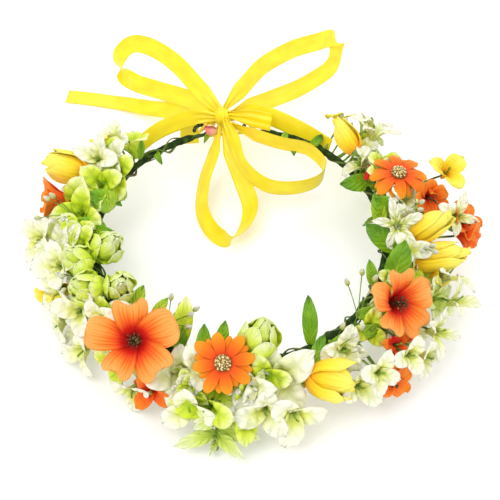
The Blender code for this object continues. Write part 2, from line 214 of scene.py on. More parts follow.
# ------------------------------------------------------------------ hoop
# One plastic-coated wire bent to an oval, with an eyelet turned on each end. Crepe floral
# tape is wound round it on the slant, over the feet of the stems, so that the bundle swells
# where many stems are bound in; a few thin vine stems wander along it.
MM = 0.001
WIRE = 0.002
tape_low, tape_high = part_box("floral_tape")
TAPE_RADIUS = (tape_high.z - tape_low.z) / 2 / cos(pi / 6)
HOOP_CENTRE = Vector((0, 0, (tape_low.z + tape_high.z) / 2))
HOOP_HALF = Vector((tape_high.x - TAPE_RADIUS, -tape_low.y - TAPE_RADIUS, 0))
LEFT_END, RIGHT_END = 108, 84
EYE_RADIUS = 4.5 * MM


def outward(clock):
    """The level direction square to the hoop, away from the head."""
    angle = radians(clock)
    return Vector((HOOP_HALF.y * cos(angle), HOOP_HALF.x * sin(angle), 0)).normalized()


def beside(clock, out=0.0, up=0.0):
    """A place by the hoop: clock angle in degrees (0 right, 90 back, 270 front), then mm."""
    angle = radians(clock)
    point = HOOP_CENTRE + Vector((HOOP_HALF.x * cos(angle), HOOP_HALF.y * sin(angle), 0))
    return point + outward(clock) * out * MM + Vector((0, 0, up * MM))


def tangents(route):
    """The direction of travel at each point of a route."""
    return [(b - a).normalized() for a, b in zip([route[0], *route[:-1]], [*route[1:], route[-1]])]


def tube(bm, route, radii, sides=8):
    """A closed rod along a route, its section turning as little as it can."""
    aim = tangents(route)
    turn = aim[0].to_track_quat("Z", "Y")
    ring = None
    for step, (point, along, radius) in enumerate(zip(route, aim, radii)):
        if step:
            turn = aim[step - 1].rotation_difference(along) @ turn
        at = Matrix.Translation(point) @ turn.to_matrix().to_4x4()
        made = bmesh.ops.create_circle(
            bm, segments=sides, radius=radius, matrix=at, cap_ends=step in (0, len(route) - 1)
        )["verts"]
        edges = list({edge for vert in made for edge in vert.link_edges})
        if ring:
            bmesh.ops.bridge_loops(bm, edges=ring + edges)
        ring = edges


def piece(name, bm, finish, body, nodes=(), wall=0.0, rounds=0):
    """A finished bmesh as a named object that rides on a body and stands for CAD nodes."""
    mesh = bpy.data.meshes.new(name)
    bm.to_mesh(mesh)
    bm.free()
    mesh.shade_smooth()
    mesh.materials.append(finish.material)
    thing = bpy.data.objects.new(name, mesh)
    bpy.context.collection.objects.link(thing)
    if wall:
        solid = thing.modifiers.new("wall", "SOLIDIFY")
        solid.thickness = wall
        solid.offset = 0
    if rounds:
        smooth = thing.modifiers.new("rounds", "SUBSURF")
        smooth.levels = smooth.render_levels = rounds
    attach(thing, body)
    if nodes:
        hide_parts(*nodes)
    return thing


tape = Finish("crepe_floral_tape", Roughness=0.78, Specular_IOR_Level=0.2)
where = tape.place()
mottle = tape.noise(where, 220, 4)
crepe = tape.noise(where, 1500, 2)
tape.feed("Base Color", tape.ramp(mottle, (0.30, (0.005, 0.012, 0.002)), (0.52, (0.018, 0.048, 0.004)),
                                  (0.8, (0.090, 0.150, 0.015))))
tape.feed("Roughness", 0.6 + crepe * 0.3)
tape.bump(crepe + mottle * 0.6, 0.0004)

WRAP_STEPS, WRAP_SIDES, WRAP_PITCH = 560, 14, 9 * MM
bm = bmesh.new()
grid = bmesh.ops.create_grid(bm, x_segments=WRAP_SIDES, y_segments=WRAP_STEPS, size=1)["verts"]
hoop_length = pi * (HOOP_HALF.x + HOOP_HALF.y)
for vert in grid:
    around, along = (vert.co.x + 1) / 2, (vert.co.y + 1) / 2
    clock = LEFT_END + (360 + RIGHT_END - LEFT_END) * along
    lap = (along * hoop_length / WRAP_PITCH - around) % 1
    bundle = 0.5 + 0.5 * cos(radians(clock - 270))
    knots = sin(along * 91) * sin(along * 37 + 1)
    radius = TAPE_RADIUS * (0.92 + 0.12 * lap + 0.25 * bundle + 0.12 * knots)
    taper = min(1, along * 60 + 0.3, (1 - along) * 60 + 0.3)
    angle = tau * around
    offset = outward(clock) * cos(angle) + Vector((0, 0, sin(angle)))
    vert.co = beside(clock) + offset * radius * taper
bmesh.ops.remove_doubles(bm, verts=bm.verts[:], dist=1e-6)
bmesh.ops.holes_fill(bm, edges=[edge for edge in bm.edges if edge.is_boundary], sides=WRAP_SIDES)
bmesh.ops.recalc_face_normals(bm, faces=bm.faces[:])
piece("wound_tape", bm, tape, "crown", ["floral_tape"])

coat = mottled(
    "green_wire_coat", 400, 3, ((0.3, (0.02, 0.045, 0.01)), (0.8, (0.06, 0.11, 0.03))), 2500, 0.0001,
    Roughness=0.45, Specular_IOR_Level=0.3,
)


def eye(clock, turn):
    """The wire's end bent round into an eyelet beside the hoop line."""
    start, away = beside(clock), outward(clock)
    onward = Vector((0, 0, turn)).cross(away)
    centre = start + away * EYE_RADIUS
    return [
        centre + (onward * sin(radians(step * 9)) - away * cos(radians(step * 9))) * EYE_RADIUS
        for step in range(31)
    ]


bm = bmesh.new()
for clock, turn, inside in ((LEFT_END - 2, -1, 4), (RIGHT_END + 2, 1, -4)):
    route = [beside(clock + inside), beside(clock + inside / 2), *eye(clock, turn)]
    tube(bm, route, [WIRE / 2 + 0.4 * MM * (0.5 + 0.5 * sin(i * 1.7)) for i in range(len(route))], 10)
piece("wire_eyelets", bm, coat, "crown", ["hoop_wire"])

vine = mottled(
    "vine_stem", 90, 3,
    ((0.35, (0.045, 0.075, 0.015)), (0.5, (0.12, 0.20, 0.03)), (0.72, (0.10, 0.05, 0.03))), 1200, 0.0003,
    Roughness=0.55, Specular_IOR_Level=0.3,
)
# clock angles where each vine starts and ends, how far it stands off, turns, radius in mm
VINES = (
    (112, 205, 3.2, 4, 0.7), (118, 168, 3.6, -2.5, 0.9), (20, 80, 3.0, 3, 0.7), (282, 335, 3.6, -3, 0.9),
    (286, 330, 3.4, 2, 0.6), (160, 262, 3.8, 5, 0.8), (-50, 22, 3.6, 4, 0.8), (250, 290, 3.8, 2, 0.9),
)
bm = bmesh.new()
for start, end, stand, turns, radius in VINES:
    steps = int(abs(end - start) / 1.5)
    route = []
    for step in range(steps + 1):
        share = step / steps
        angle = tau * turns * share + start
        wander = stand * (1 + 0.25 * sin(share * 23 + start))
        clock = start + (end - start) * share
        route.append(beside(clock, cos(angle) * wander, sin(angle) * wander))
    tube(bm, route, [radius * MM * (0.8 + 0.3 * sin(i * 0.9)) for i in range(steps + 1)], 7)
piece("vine_stems", bm, vine, "crown")

# ------------------------------------------------------------------ ribbon
# One 12 mm double-faced satin ribbon, tied through both eyelets in a double bow. Every
# strand leaves the knot pinched into pleats and opens to its full width within 20 mm.
RIBBON_WIDTH = 12
RIBBON_WALL = 0.25 * MM
satin = Finish("yellow_satin", Roughness=0.38, Sheen_Weight=0.25, Sheen_Roughness=0.3)
across, along = satin.across_along()
weave = (along * tau * 14).sine() * 0.5 + (across * tau * 30).sine() * 0.5
slub = satin.noise(satin.vector(across * 1.5, along * 40), 3, 2)
shade = satin.noise(satin.vector(across * 0.8, along * 0.5), 2.0, 1)
edge = ((across - 0.5).size() * 2.0) ** 18
body_colour = satin.ramp(shade, (0.3, (0.90, 0.68, 0.003)), (0.7, (0.97, 0.82, 0.012)))
satin.feed("Base Color", satin.mix(edge * 0.4, body_colour, (0.80, 0.56, 0.003)))
satin.feed("Roughness", 0.32 + slub * 0.08)
satin.bump(weave * 0.2 + slub * 0.2 + edge, 0.00006)


def smooth_route(points, steps):
    """Catmull-Rom points through a given route, with steps on each span."""
    ends = [points[0] * 2 - points[1], *points, points[-1] * 2 - points[-2]]
    route = []
    for before, start, end, after in zip(ends, ends[1:], ends[2:], ends[3:]):
        for step in range(steps):
            t = step / steps
            square = (before * 2 - start * 5 + end * 4 - after) * t * t
            cube = (start * 3 - before - end * 3 + after) * t * t * t
            route.append(0.5 * (start * 2 + (end - before) * t + square + cube))
    route.append(points[-1].copy())
    return route


knot_low, knot_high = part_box("ribbon_knot")
KNOT = (knot_low + knot_high) / 2
# share of the way out from the knot's middle at which a strand's pinched end starts
TUCKED_FIXED, TUCKED_SWINGING = 0.92, 0.78
# a pinched strand's share of its width at the knot, and the run over which it opens, in mm
PINCHED_SHARE, OPENING_RUN = 0.34, 26


def ribbon(name, node, points, leans, body, pinched=(True, True), pleat=0.0):
    """A satin strand along a route in millimetres. leans are the directions of its width,
    spread evenly along it; the ends that go into the knot are gathered in pleats."""
    points = [Vector(point) for point in points]
    heart = KNOT / MM
    tucked = TUCKED_FIXED if body == "crown" else TUCKED_SWINGING
    if pinched[0]:
        points.insert(0, heart.lerp(points[0], tucked))
    if pinched[1]:
        points.append(heart.lerp(points[-1], tucked))
    route = smooth_route(points, 10)
    aim = tangents(route)
    last = len(route) - 1
    run = [0.0]
    for a, b in zip(route, route[1:]):
        run.append(run[-1] + (b - a).length)
    bm = bmesh.new()
    uv = bm.loops.layers.uv.verify()
    verts = bmesh.ops.create_grid(bm, x_segments=12, y_segments=last, size=1, calc_uvs=True)["verts"]
    for vert in verts:
        side = vert.co.x
        index = round((vert.co.y + 1) / 2 * last)
        share = run[index] / run[-1] * (len(leans) - 1)
        which = min(int(share), len(leans) - 2)
        lean = Vector(leans[which]).lerp(Vector(leans[which + 1]), share - which)
        width_way = (lean - aim[index] * lean.dot(aim[index])).normalized()
        face_way = aim[index].cross(width_way)
        knot_run = min(run[index] if pinched[0] else 99, run[-1] - run[index] if pinched[1] else 99)
        open_share = min(1.0, PINCHED_SHARE + knot_run / OPENING_RUN)
        fold = (1 - open_share) * 2.0 + pleat
        wave = sin(side * 2.4 * pi + run[index] * 0.02) * fold
        crown = 0.25 * (1 - side * side) + 0.18 * sin(run[index] * 0.21 + len(name))
        vert.co = (route[index] + width_way * side * RIBBON_WIDTH / 2 * open_share
                   + face_way * (wave + crown)) * MM
    for face in bm.faces:
        for loop in face.loops:
            loop[uv].uv.y *= run[-1] / RIBBON_WIDTH
    strand = piece(name, bm, satin, body, [node], RIBBON_WALL)
    return strand


ribbon(
    "bow_loop_upper_left", "loop_upper_left",
    [(-15, 103, 41), (-28, 118, 46), (-44, 138, 50), (-61, 154, 49), (-74, 162, 44), (-83, 161, 34),
     (-82, 156, 24), (-73, 151, 19), (-55, 139, 23), (-34, 122, 31), (-17, 104, 37)],
    [(0.35, 0.6, 0.72), (0.35, 0.6, 0.72), (-0.45, 0.75, 0.5), (0.35, 0.6, 0.72), (0.35, 0.6, 0.72)],
    "bow_upper",
)
ribbon(
    "bow_tail_long", "tail_long",
    [(-17, 103, 33), (-32, 115, 25), (-48, 128, 15), (-66, 140, 6), (-83, 148, 2), (-104, 153, 1),
     (-121, 156, 1)],
    [(0, 0.77, 0.64), (0, 1, 0.1), (0, 1, 0)], "bow_upper", (True, False),
)
ribbon(
    "bow_loop_upper_right", "loop_upper_right",
    [(-10, 104, 42), (1, 118, 46), (14, 136, 48), (33, 155, 45), (52, 171, 38), (63, 181, 32),
     (66, 180, 24), (61, 167, 17), (40, 147, 18), (19, 127, 26), (-4, 106, 35)],
    [(-0.4, 0.35, 0.85)] * 2, "bow_upper",
)
ribbon(
    "bow_loop_lower_front", "loop_lower_front",
    [(-14, 90, 35), (-18, 76, 27), (-24, 61, 15), (-25, 44, 9), (-18, 27, 7), (-7, 20, 7), (3, 30, 9),
     (6, 44, 13), (1, 59, 20), (-5, 74, 27), (-10, 89, 36)],
    [(0.62, -0.45, 0.6), (0.65, -0.3, 0.6), (0.75, 0.28, 0.6), (0.75, 0.28, 0.6)], "bow_lower",
)
ribbon(
    "bow_loop_lower_right", "loop_lower_right",
    [(-9, 90, 42), (-4, 74, 39), (2, 59, 33), (16, 49, 27), (35, 49, 24), (50, 55, 25), (54, 65, 28),
     (44, 74, 33), (27, 77, 36), (10, 82, 38), (-4, 91, 38)],
    [(0.7, -0.2, 0.5), (0.1, 0.1, 1), (0.1, -0.05, 1), (0, 0, 1)], "bow_lower",
)
ribbon(
    "bow_run_left", "side_run_left",
    [(-17, 97, 40), (-30, 97, 40), (-45, 91, 39), (-57, 84, 37), (-66, 76, 35)],
    [(0, 0.4, 0.9)] * 2, "crown", (True, False),
)
ribbon(
    "bow_run_right", "side_run_right",
    [(-7, 99, 37), (6, 104, 38), (20, 101, 36), (36, 95, 32), (48, 88, 30), (58, 79, 30)],
    [(0, 0.5, 0.8)] * 2, "crown", (True, False),
)
ribbon(
    "bow_tail_short", "tail_short", [(-18, 97, 35), (-28, 103, 33), (-34, 103, 23), (-34, 99, 13)],
    [(0.9, 0.2, 0.3)] * 2, "crown", (True, False),
)
ribbon(
    "bow_tail_stub", "tail_stub", [(-7, 97, 42), (6, 94, 42), (20, 91, 41)],
    [(0, 0.5, 0.85)] * 2, "crown", (True, False), 0.4,
)

KNOT_HALF_LENGTH, KNOT_RADIUS = 6.0, 6.4
bm = bmesh.new()
bm.loops.layers.uv.verify()
bmesh.ops.create_uvsphere(bm, u_segments=64, v_segments=32, radius=1, calc_uvs=True)
for vert in bm.verts:
    turn = Vector((vert.co.y, vert.co.z)).angle_signed(Vector((1, 0)), 0)
    pleats = 0.45 * sin(vert.co.x * 9 + 0.6 * sin(turn * 2)) + 0.25 * sin(vert.co.x * 17 + turn)
    belly = 1 + 0.12 * sin(turn * 3 + 1)
    squared = vert.co.copy()
    squared.x = asin(max(-1, min(1, vert.co.x))) / (pi / 2) * KNOT_HALF_LENGTH
    radius = Vector((0, vert.co.y, vert.co.z)).length
    if radius > 0:
        swell = (KNOT_RADIUS + pleats) * belly * radius ** 0.55 / radius
        squared.y, squared.z = vert.co.y * swell, vert.co.z * swell
    vert.co = KNOT + squared * MM
piece("bow_knot", bm, satin, "crown", ["ribbon_knot"])

left_eye = beside(LEFT_END - 2) + outward(LEFT_END - 2) * EYE_RADIUS
right_eye = beside(RIGHT_END + 2) + outward(RIGHT_END + 2) * EYE_RADIUS
drop, rise, lean_in = Vector((0, 0, -0.005)), Vector((0, 0, 0.006)), Vector((0.004, 0, 0))
tie = [left_eye + rise + lean_in, left_eye, left_eye + drop, right_eye + drop, right_eye,
       right_eye + rise - lean_in]
bm = bmesh.new()
route = smooth_route(tie, 8)
tube(bm, route, [1.1 * MM * (1 + 0.15 * sin(i * 1.1)) for i in range(len(route))], 10)
piece("bow_tie_strand", bm, satin, "crown", ["ribbon_tie"])

# ------------------------------------------------------------------ hibiscus
# A five-petalled funnel of printed, heat-set polyester, its red throat feathering out into
# peach. It is pushed on a peg, so it turns; the stem with its calyx stays on the hoop.
FABRIC_WALL = 0.35 * MM


def petal_finish(name, stops, streaks, veins, vein_count, vein_colour, rough=0.55):
    """Printed petal cloth: a colour run from base to tip that feathers along the veins."""
    cloth = Finish(name, Roughness=rough, Sheen_Weight=0.04, Specular_IOR_Level=0.25,
                   Subsurface_Weight=0.12, Subsurface_Scale=0.002, Subsurface_Radius=(1, 0.8, 0.5))
    across, along = cloth.across_along()
    where = cloth.place()
    feather = cloth.noise(cloth.vector(across * 11, along * 0.9), 2.4, 3)
    blotch = cloth.noise(where, 70, 2)
    reach = along + (feather - 0.5) * streaks * 4 + (blotch - 0.5) * 0.12
    colour = cloth.ramp(reach, *stops)
    waver = cloth.noise(cloth.vector(across * 3, along * 5), 2, 2)
    vein = 1 - ((across * pi * vein_count + waver * 1.6).sine().size() * 2.2).held()
    fade = (1.15 - along).held()
    grain = cloth.noise(where, 2600, 2)
    colour = cloth.mix(vein * fade * veins, colour, vein_colour)
    colour = cloth.mix((grain - 0.45).held() * 0.5, colour, (1, 1, 1), "SOFT_LIGHT")
    cloth.feed("Base Color", colour)
    cloth.feed("Roughness", rough - 0.1 + grain * 0.25)
    cloth.bump(vein * 0.8 + grain * 0.25 + feather * 0.3, 0.00025)
    return cloth


def looking(point, facing, roll=0.0):
    """The frame of a blossom in millimetres: its base at point and its +Z along facing."""
    turn = facing.to_track_quat("Z", "Y").to_matrix().to_4x4()
    return Matrix.Translation(point) @ turn @ Matrix.Rotation(radians(roll), 4, "Z") @ Matrix.Scale(MM, 4)


def petal(bm, at, spine, width, neck=0.3, belly=0.7, tip=4.0, point=0.5, across=10, along=14,
          cup=0.0, lap=0.0, ruffle=0.0, waves=2.5, phase=0.0, ridges=0.0, ridge_count=3, quilt=0.0,
          cells=4, notch=0.0, sway=0.0, wrap=True):
    """A petal or leaf: a flat grid laid along a curve given as four (radius, height) handles.
    neck, belly, tip, point and notch shape its outline; the other values shape its surface."""
    uv = bm.loops.layers.uv.verify()
    path = [Vector((radius, height)) for radius, height in spine]
    curve = interpolate_bezier(path[0], path[1], path[2], path[3], 65)
    made = bmesh.ops.create_grid(bm, x_segments=across, y_segments=along, size=1, calc_uvs=True)["verts"]
    for vert in made:
        side, share = vert.co.x, (vert.co.y + 1) / 2
        share += 0.5 * share * share * (1 - share)
        for loop in vert.link_loops:
            loop[uv].uv.y = share
        outline = max(0.05, (neck + (1 - neck) * share ** belly) * max(0.0, 1 - share ** tip) ** point)
        half = width * outline
        step = min(64, round(64 * share * (1 - notch * (1 - (side * outline) ** 2) ** 4 * share ** 6)))
        ahead = curve[min(64, step + 2)] - curve[max(0, step - 2)]
        normal = Vector((-ahead.y, ahead.x)).normalized()
        middle = sin(pi * min(1.0, share + 0.1))
        lift = cup * side * side * half * 0.6 + lap * side * min(1, share * 2)
        lift += ruffle * share ** 2 * abs(side) ** 1.5 * sin(waves * pi * share + phase + side * 1.5)
        lift += ridges * cos(side * pi * ridge_count) * middle
        cell = abs(sin(pi * cells * (share - 0.28 * abs(side)))) ** 0.8 * min(1.0, abs(side) * 2.6) ** 0.7
        lift += quilt * cell * (1 - side ** 4) * min(1.0, share * 4)
        radius = curve[step].x + normal.x * lift
        height = curve[step].y + normal.y * lift
        drift = sway * share * share
        if wrap:
            angle = (side * half + drift) / max(radius, 0.8)
            vert.co = Vector((radius * cos(angle), radius * sin(angle), height))
        else:
            vert.co = Vector((radius, side * half + drift, height))
    bmesh.ops.transform(bm, matrix=at, verts=made)


def turned_by(at, degrees):
    """The same frame turned about its own facing."""
    return at @ Matrix.Rotation(radians(degrees), 4, "Z")


def start_bloom():
    """An empty mesh that is ready to carry petal coordinates."""
    bm = bmesh.new()
    bm.loops.layers.uv.verify()
    return bm


joint = {row["child"]: (Vector(row["pos_m"]), Vector(row["axis"])) for row in frame["joints"]}
SEPALS = 5
stem_green = mottled(
    "stem_plastic", 120, 3, ((0.3, (0.10, 0.22, 0.02)), (0.7, (0.30, 0.46, 0.05))), 1500, 0.0002,
    Roughness=0.42,
)


def cad_points(node):
    """The corners of a CAD solid."""
    return [vert.co.copy() for vert in frame["nodes"][node].data.vertices]


def nearest_clock(point):
    """The clock angle on the hoop that lies closest to a point."""
    return min(range(360), key=lambda clock: (beside(clock) - point).xy.length)


def foot_of(node):
    """The corner of a CAD solid that lies closest to the hoop's centre line."""
    return min(cad_points(node), key=lambda point: (beside(nearest_clock(point)) - point).length)


def stem(name, node, base, facing, calyx=3.4, sepal_length=7.0):
    """A moulded stem from under the tape to the head, with a calyx of pointed sepals."""
    start = foot_of(node)
    lead = (base - start).length * 0.4
    away = (start - beside(nearest_clock(start))).normalized()
    neck = base - facing * 3 * MM
    route = interpolate_bezier(start - away * 2 * MM, start + away * lead, neck - facing * lead, neck, 14)
    bm = start_bloom()
    tube(bm, route, [1.1 * MM * (1.15 - 0.2 * sin(i / 4)) for i in range(14)], 8)
    at = looking(base, facing)
    spine = [(0.9, -4.2), (calyx * 1.1, -3.6), (calyx * 1.1, -1.5), (calyx + 0.8, sepal_length * 0.55)]
    for index in range(SEPALS):
        petal(bm, turned_by(at, 360 / SEPALS * index), spine, calyx * 0.85, neck=0.7, belly=0.4, tip=2.0,
              across=4, along=8, ridges=0.1)
    return piece(name, bm, stem_green, "crown", [node])


hibiscus = petal_finish(
    "hibiscus_petal",
    ((0.0, (0.45, 0.003, 0.002)), (0.40, (0.74, 0.008, 0.002)), (0.53, (0.87, 0.075, 0.004)),
     (0.68, (0.91, 0.20, 0.014)), (1.0, (0.95, 0.42, 0.10))),
    streaks=0.13, veins=0.10, vein_count=11, vein_colour=(0.70, 0.04, 0.003),
)
stamen = mottled(
    "stamen_olive", 700, 2,
    ((0.35, (0.035, 0.022, 0.008)), (0.6, (0.16, 0.10, 0.03)), (0.75, (0.42, 0.28, 0.08))), 3000, 0.0003,
    Roughness=0.6,
)


def brush(bm, at, count, foot_height, top, reach, thread=0.28, bead_radius=0.6):
    """A tuft of stamens, each a thread that bows outwards and ends in an anther."""
    for index in range(count):
        angle = index * 2.4
        lean = reach * (0.15 + 0.85 * (index / count) ** 0.8)
        height = top * (1 - 0.25 * (index / count) ** 2) + 0.8 * sin(index * 1.9)
        aside = Vector((cos(angle), sin(angle), 0))
        head = aside * lean + Vector((0, 0, height))
        foot = aside * 0.5 + Vector((0, 0, foot_height))
        bend = aside * lean * 0.25 + Vector((0, 0, foot_height + (height - foot_height) * 0.8))
        route = [at @ spot for spot in interpolate_bezier(foot, bend, bend, head, 7)]
        tube(bm, route, [thread * MM] * 7, 5)
        bead = bmesh.ops.create_icosphere(bm, subdivisions=1, radius=bead_radius)["verts"]
        bmesh.ops.scale(bm, verts=bead, vec=(1, 0.8, 1.7))
        bmesh.ops.transform(bm, matrix=at @ Matrix.Translation(head), verts=bead)


def hibiscus_head(side, spread, depth, roll):
    """Petals and stamens of one hibiscus, on its own turning body."""
    body = f"hibiscus_{side}_head"
    base, facing = joint[body]
    at = looking(base, facing, roll)
    bm = start_bloom()
    for index in range(5):
        reach = spread * (1 + 0.06 * sin(index * 2.3))
        rim = depth * (0.96 + 0.07 * sin(index * 3))
        spine = [(2.6, 1.5), (3.8, depth * 0.72), (reach * 0.42, depth * 0.90), (reach, rim)]
        petal(bm, turned_by(at, index * 72), spine, reach * (0.51 + 0.05 * sin(index * 5)), neck=0.08,
              belly=1.15, tip=9, across=18, along=24, cup=0.08, lap=0.8, ruffle=2.0, waves=3.4,
              phase=index * 1.7, ridges=0.22, ridge_count=4, notch=0.13 + 0.08 * sin(index * 4 + 1))
    piece(f"hibiscus_{side}_funnel", bm, hibiscus, body, [f"hibiscus_{side}_petals"],
          FABRIC_WALL)
    bm = start_bloom()
    brush(bm, at, 19, 5, depth * 0.97, 5.2)
    piece(f"hibiscus_{side}_brush", bm, stamen, body, [f"hibiscus_{side}_stamens"])
    stem(f"hibiscus_{side}_stalk", f"hibiscus_{side}_stem", base, facing)


hibiscus_head("left", 29, 20, 97)
hibiscus_head("right", 24.5, 20, 60)

# ------------------------------------------------------------------ zinnia
# Two rings of narrow orange petals, die-cut and pressed with a groove down the middle, round
# a domed disc that is set with tiny cream-gold beads. The head turns on its peg.
zinnia = petal_finish(
    "zinnia_petal",
    ((0.0, (0.75, 0.03, 0.002)), (0.25, (0.90, 0.09, 0.002)), (0.55, (0.94, 0.17, 0.002)),
     (0.95, (0.96, 0.32, 0.006))),
    streaks=0.08, veins=0.12, vein_count=6, vein_colour=(0.80, 0.06, 0.0),
)
disc = mottled(
    "zinnia_disc", 900, 3, ((0.35, (0.08, 0.045, 0.006)), (0.7, (0.36, 0.22, 0.03))), 2500, 0.0004,
    Roughness=0.75,
)
bead_gold = mottled(
    "disc_beads", 800, 2, ((0.4, (0.66, 0.48, 0.14)), (0.6, (0.95, 0.88, 0.55))), Roughness=0.4,
)
bead_gold.feed("Roughness", 0.3 + bead_gold.noise(bead_gold.place(), 1500) * 0.3)
DISC_RADIUS, DISC_FLATTENING, DISC_HEIGHT, BEADS = 4.9, 0.58, 3.6, 62
# the turn in degrees from each bead or wrapped petal to the next
GOLDEN_TURN = 137.5


def zinnia_head(side, spread, count, droop, roll):
    """Petal rings, disc and beads of one zinnia, on its own turning body."""
    body = f"zinnia_{side}_head"
    base, facing = joint[body]
    at = looking(base, facing, roll)
    bm = start_bloom()
    for ring, (rise, share, half) in enumerate(((1.6, 1.0, 0.29), (0.2, 0.88, 0.19))):
        for index in range(count):
            reach = spread * share * (1 + 0.06 * sin(index * 2.7 + ring))
            spine = [(2.6, 0.5 + rise), (reach * 0.45, 2.9 + rise), (reach * 0.75, 2.9 + rise - droop * 0.3),
                     (reach, 1.6 + rise - droop)]
            turn = 360 / count * (index + ring * 0.5) + 3 * sin(index * 4.1)
            petal(bm, turned_by(at, turn), spine, spread * half, neck=0.26, belly=0.8, tip=3.8, point=0.58,
                  across=10, along=18, cup=-0.2, ridges=0.22, ridge_count=2, ruffle=0.6, phase=index)
    piece(f"zinnia_{side}_rays", bm, zinnia, body, [f"zinnia_{side}_petals"], FABRIC_WALL)
    bm = start_bloom()
    dome = bmesh.ops.create_uvsphere(bm, u_segments=28, v_segments=14, radius=DISC_RADIUS)["verts"]
    bmesh.ops.scale(bm, verts=dome, vec=(1, 1, DISC_FLATTENING))
    bmesh.ops.transform(bm, matrix=at @ Matrix.Translation((0, 0, DISC_HEIGHT)), verts=dome)
    piece(f"zinnia_{side}_dome", bm, disc, body, [f"zinnia_{side}_disc"])
    bm = start_bloom()
    for index in range(BEADS):
        out = DISC_RADIUS * 0.97 * ((index + 0.5) / BEADS) ** 0.5
        angle = index * radians(GOLDEN_TURN) + 0.5 * sin(index * 5)
        rise = DISC_HEIGHT + DISC_RADIUS * DISC_FLATTENING * max(0.0, 1 - (out / DISC_RADIUS) ** 2) ** 0.5
        bead = bmesh.ops.create_icosphere(bm, subdivisions=1, radius=0.42 + 0.20 * (index % 3 == 0))["verts"]
        spot = Matrix.Translation((out * cos(angle), out * sin(angle), rise))
        bmesh.ops.transform(bm, matrix=at @ spot, verts=bead)
    piece(f"zinnia_{side}_beads", bm, bead_gold, body)
    stem(f"zinnia_{side}_stalk", f"zinnia_{side}_stem", base, facing, calyx=3.0, sepal_length=4)


zinnia_head("front", 18.5, 8, 0.8, 12)
zinnia_head("back", 19, 8, 4.5, 5)

# ------------------------------------------------------------------ trumpets
# Smaller orange-red flowers whose petals stay rolled in a tube and then flare in loose lobes.
# The left one turns on its peg; the others are moulded in one with their wired stalks.
trumpet = petal_finish(
    "trumpet_petal",
    ((0.0, (0.66, 0.01, 0.001)), (0.30, (0.86, 0.06, 0.002)), (0.65, (0.92, 0.15, 0.003)),
     (1.0, (0.95, 0.28, 0.02))),
    streaks=0.16, veins=0.30, vein_count=7, vein_colour=(0.75, 0.02, 0.0),
)


def heading(azimuth, elevation):
    """A direction from its azimuth (0 right, 90 back) and elevation in degrees."""
    level = cos(radians(elevation))
    return Vector((level * cos(radians(azimuth)), level * sin(radians(azimuth)), sin(radians(elevation))))


def rim_base(node, facing, depth):
    """Where a fixed blossom's head starts: its rim's centre on the CAD solid, less its depth."""
    points = cad_points(node)
    top = max(point.dot(facing) for point in points)
    rim = [point for point in points if point.dot(facing) > top - 2 * MM]
    centre = sum(rim, Vector()) / len(rim)
    return centre - facing * (depth * MM + centre.dot(facing) - top)


def trumpet_petals(bm, at, spread, depth, lobes, flare, seed):
    """A rolled tube of petals that flares in loose lobes."""
    pick = random.Random(seed)
    for index in range(lobes):
        reach = spread * pick.uniform(0.85, 1.15)
        spine = [(1.6, 0.0), (2.6, depth * 0.5), (reach * 0.35, depth * 0.8),
                 (reach, depth * (1.02 - flare * pick.uniform(0.0, 1.0)))]
        petal(bm, turned_by(at, 360 / lobes * index + pick.uniform(-6, 6)), spine, spread * 0.62, neck=0.2,
              belly=1.0, tip=6, across=12, along=20, cup=0.15, lap=0.6, ruffle=1.5, waves=2.6,
              phase=index * 2.1 + seed, ridges=0.25, notch=0.08, sway=pick.uniform(-1.5, 1.5))


base, facing = joint["trumpet_left_head"]
bm = start_bloom()
trumpet_petals(bm, looking(base, facing, 40), 16, 23, 5, 0.15, 4)
piece("trumpet_left_lobes", bm, trumpet, "trumpet_left_head", ["trumpet_left_petals"],
      FABRIC_WALL)
stem("trumpet_left_stalk", "trumpet_left_stem", base, facing, calyx=3.4, sepal_length=8)

# node, azimuth and elevation of the CAD cup, then those it looks at, depth, spread, flare, roll
TRUMPETS = (
    ("trumpet_upper_right", 18, 22, 300, 30, 14, 14, 0.3, 20),
    ("trumpet_right_edge", 6, 6, 340, 40, 12, 15, 0.4, 75),
    ("trumpet_low_right", 311, -16, 300, 22, 12, 14, 0.4, 10),
)
for node, cad_azimuth, cad_elevation, azimuth, elevation, depth, spread, flare, roll in TRUMPETS:
    base = rim_base(node, heading(cad_azimuth, cad_elevation), depth)
    facing = heading(azimuth, elevation)
    bm = start_bloom()
    trumpet_petals(bm, looking(base, facing, roll), spread, depth, 5, flare, len(node) + roll)
    piece(node + "_lobes", bm, trumpet, "crown", [node], FABRIC_WALL)
    stem(node + "_stalk", node, base, facing)
    bm = start_bloom()
    brush(bm, looking(base, facing), 5, 3, depth * 1.15, 3.0, 0.25, 0.7)
    piece(node + "_brush", bm, stamen, "crown")

# ------------------------------------------------------------------ rosebuds
# Long half-open buds: heat-set petals wrapped over each other round a core, lemon at the tips
# and deep yellow at the foot, held by a green plastic calyx with pointed sepals.
rosebud = petal_finish(
    "rosebud_petal",
    ((0.0, (0.94, 0.22, 0.006)), (0.22, (0.95, 0.44, 0.008)), (0.48, (0.96, 0.67, 0.013)),
     (0.9, (0.97, 0.86, 0.13))),
    streaks=0.12, veins=0.06, vein_count=6, vein_colour=(0.95, 0.36, 0.01),
)


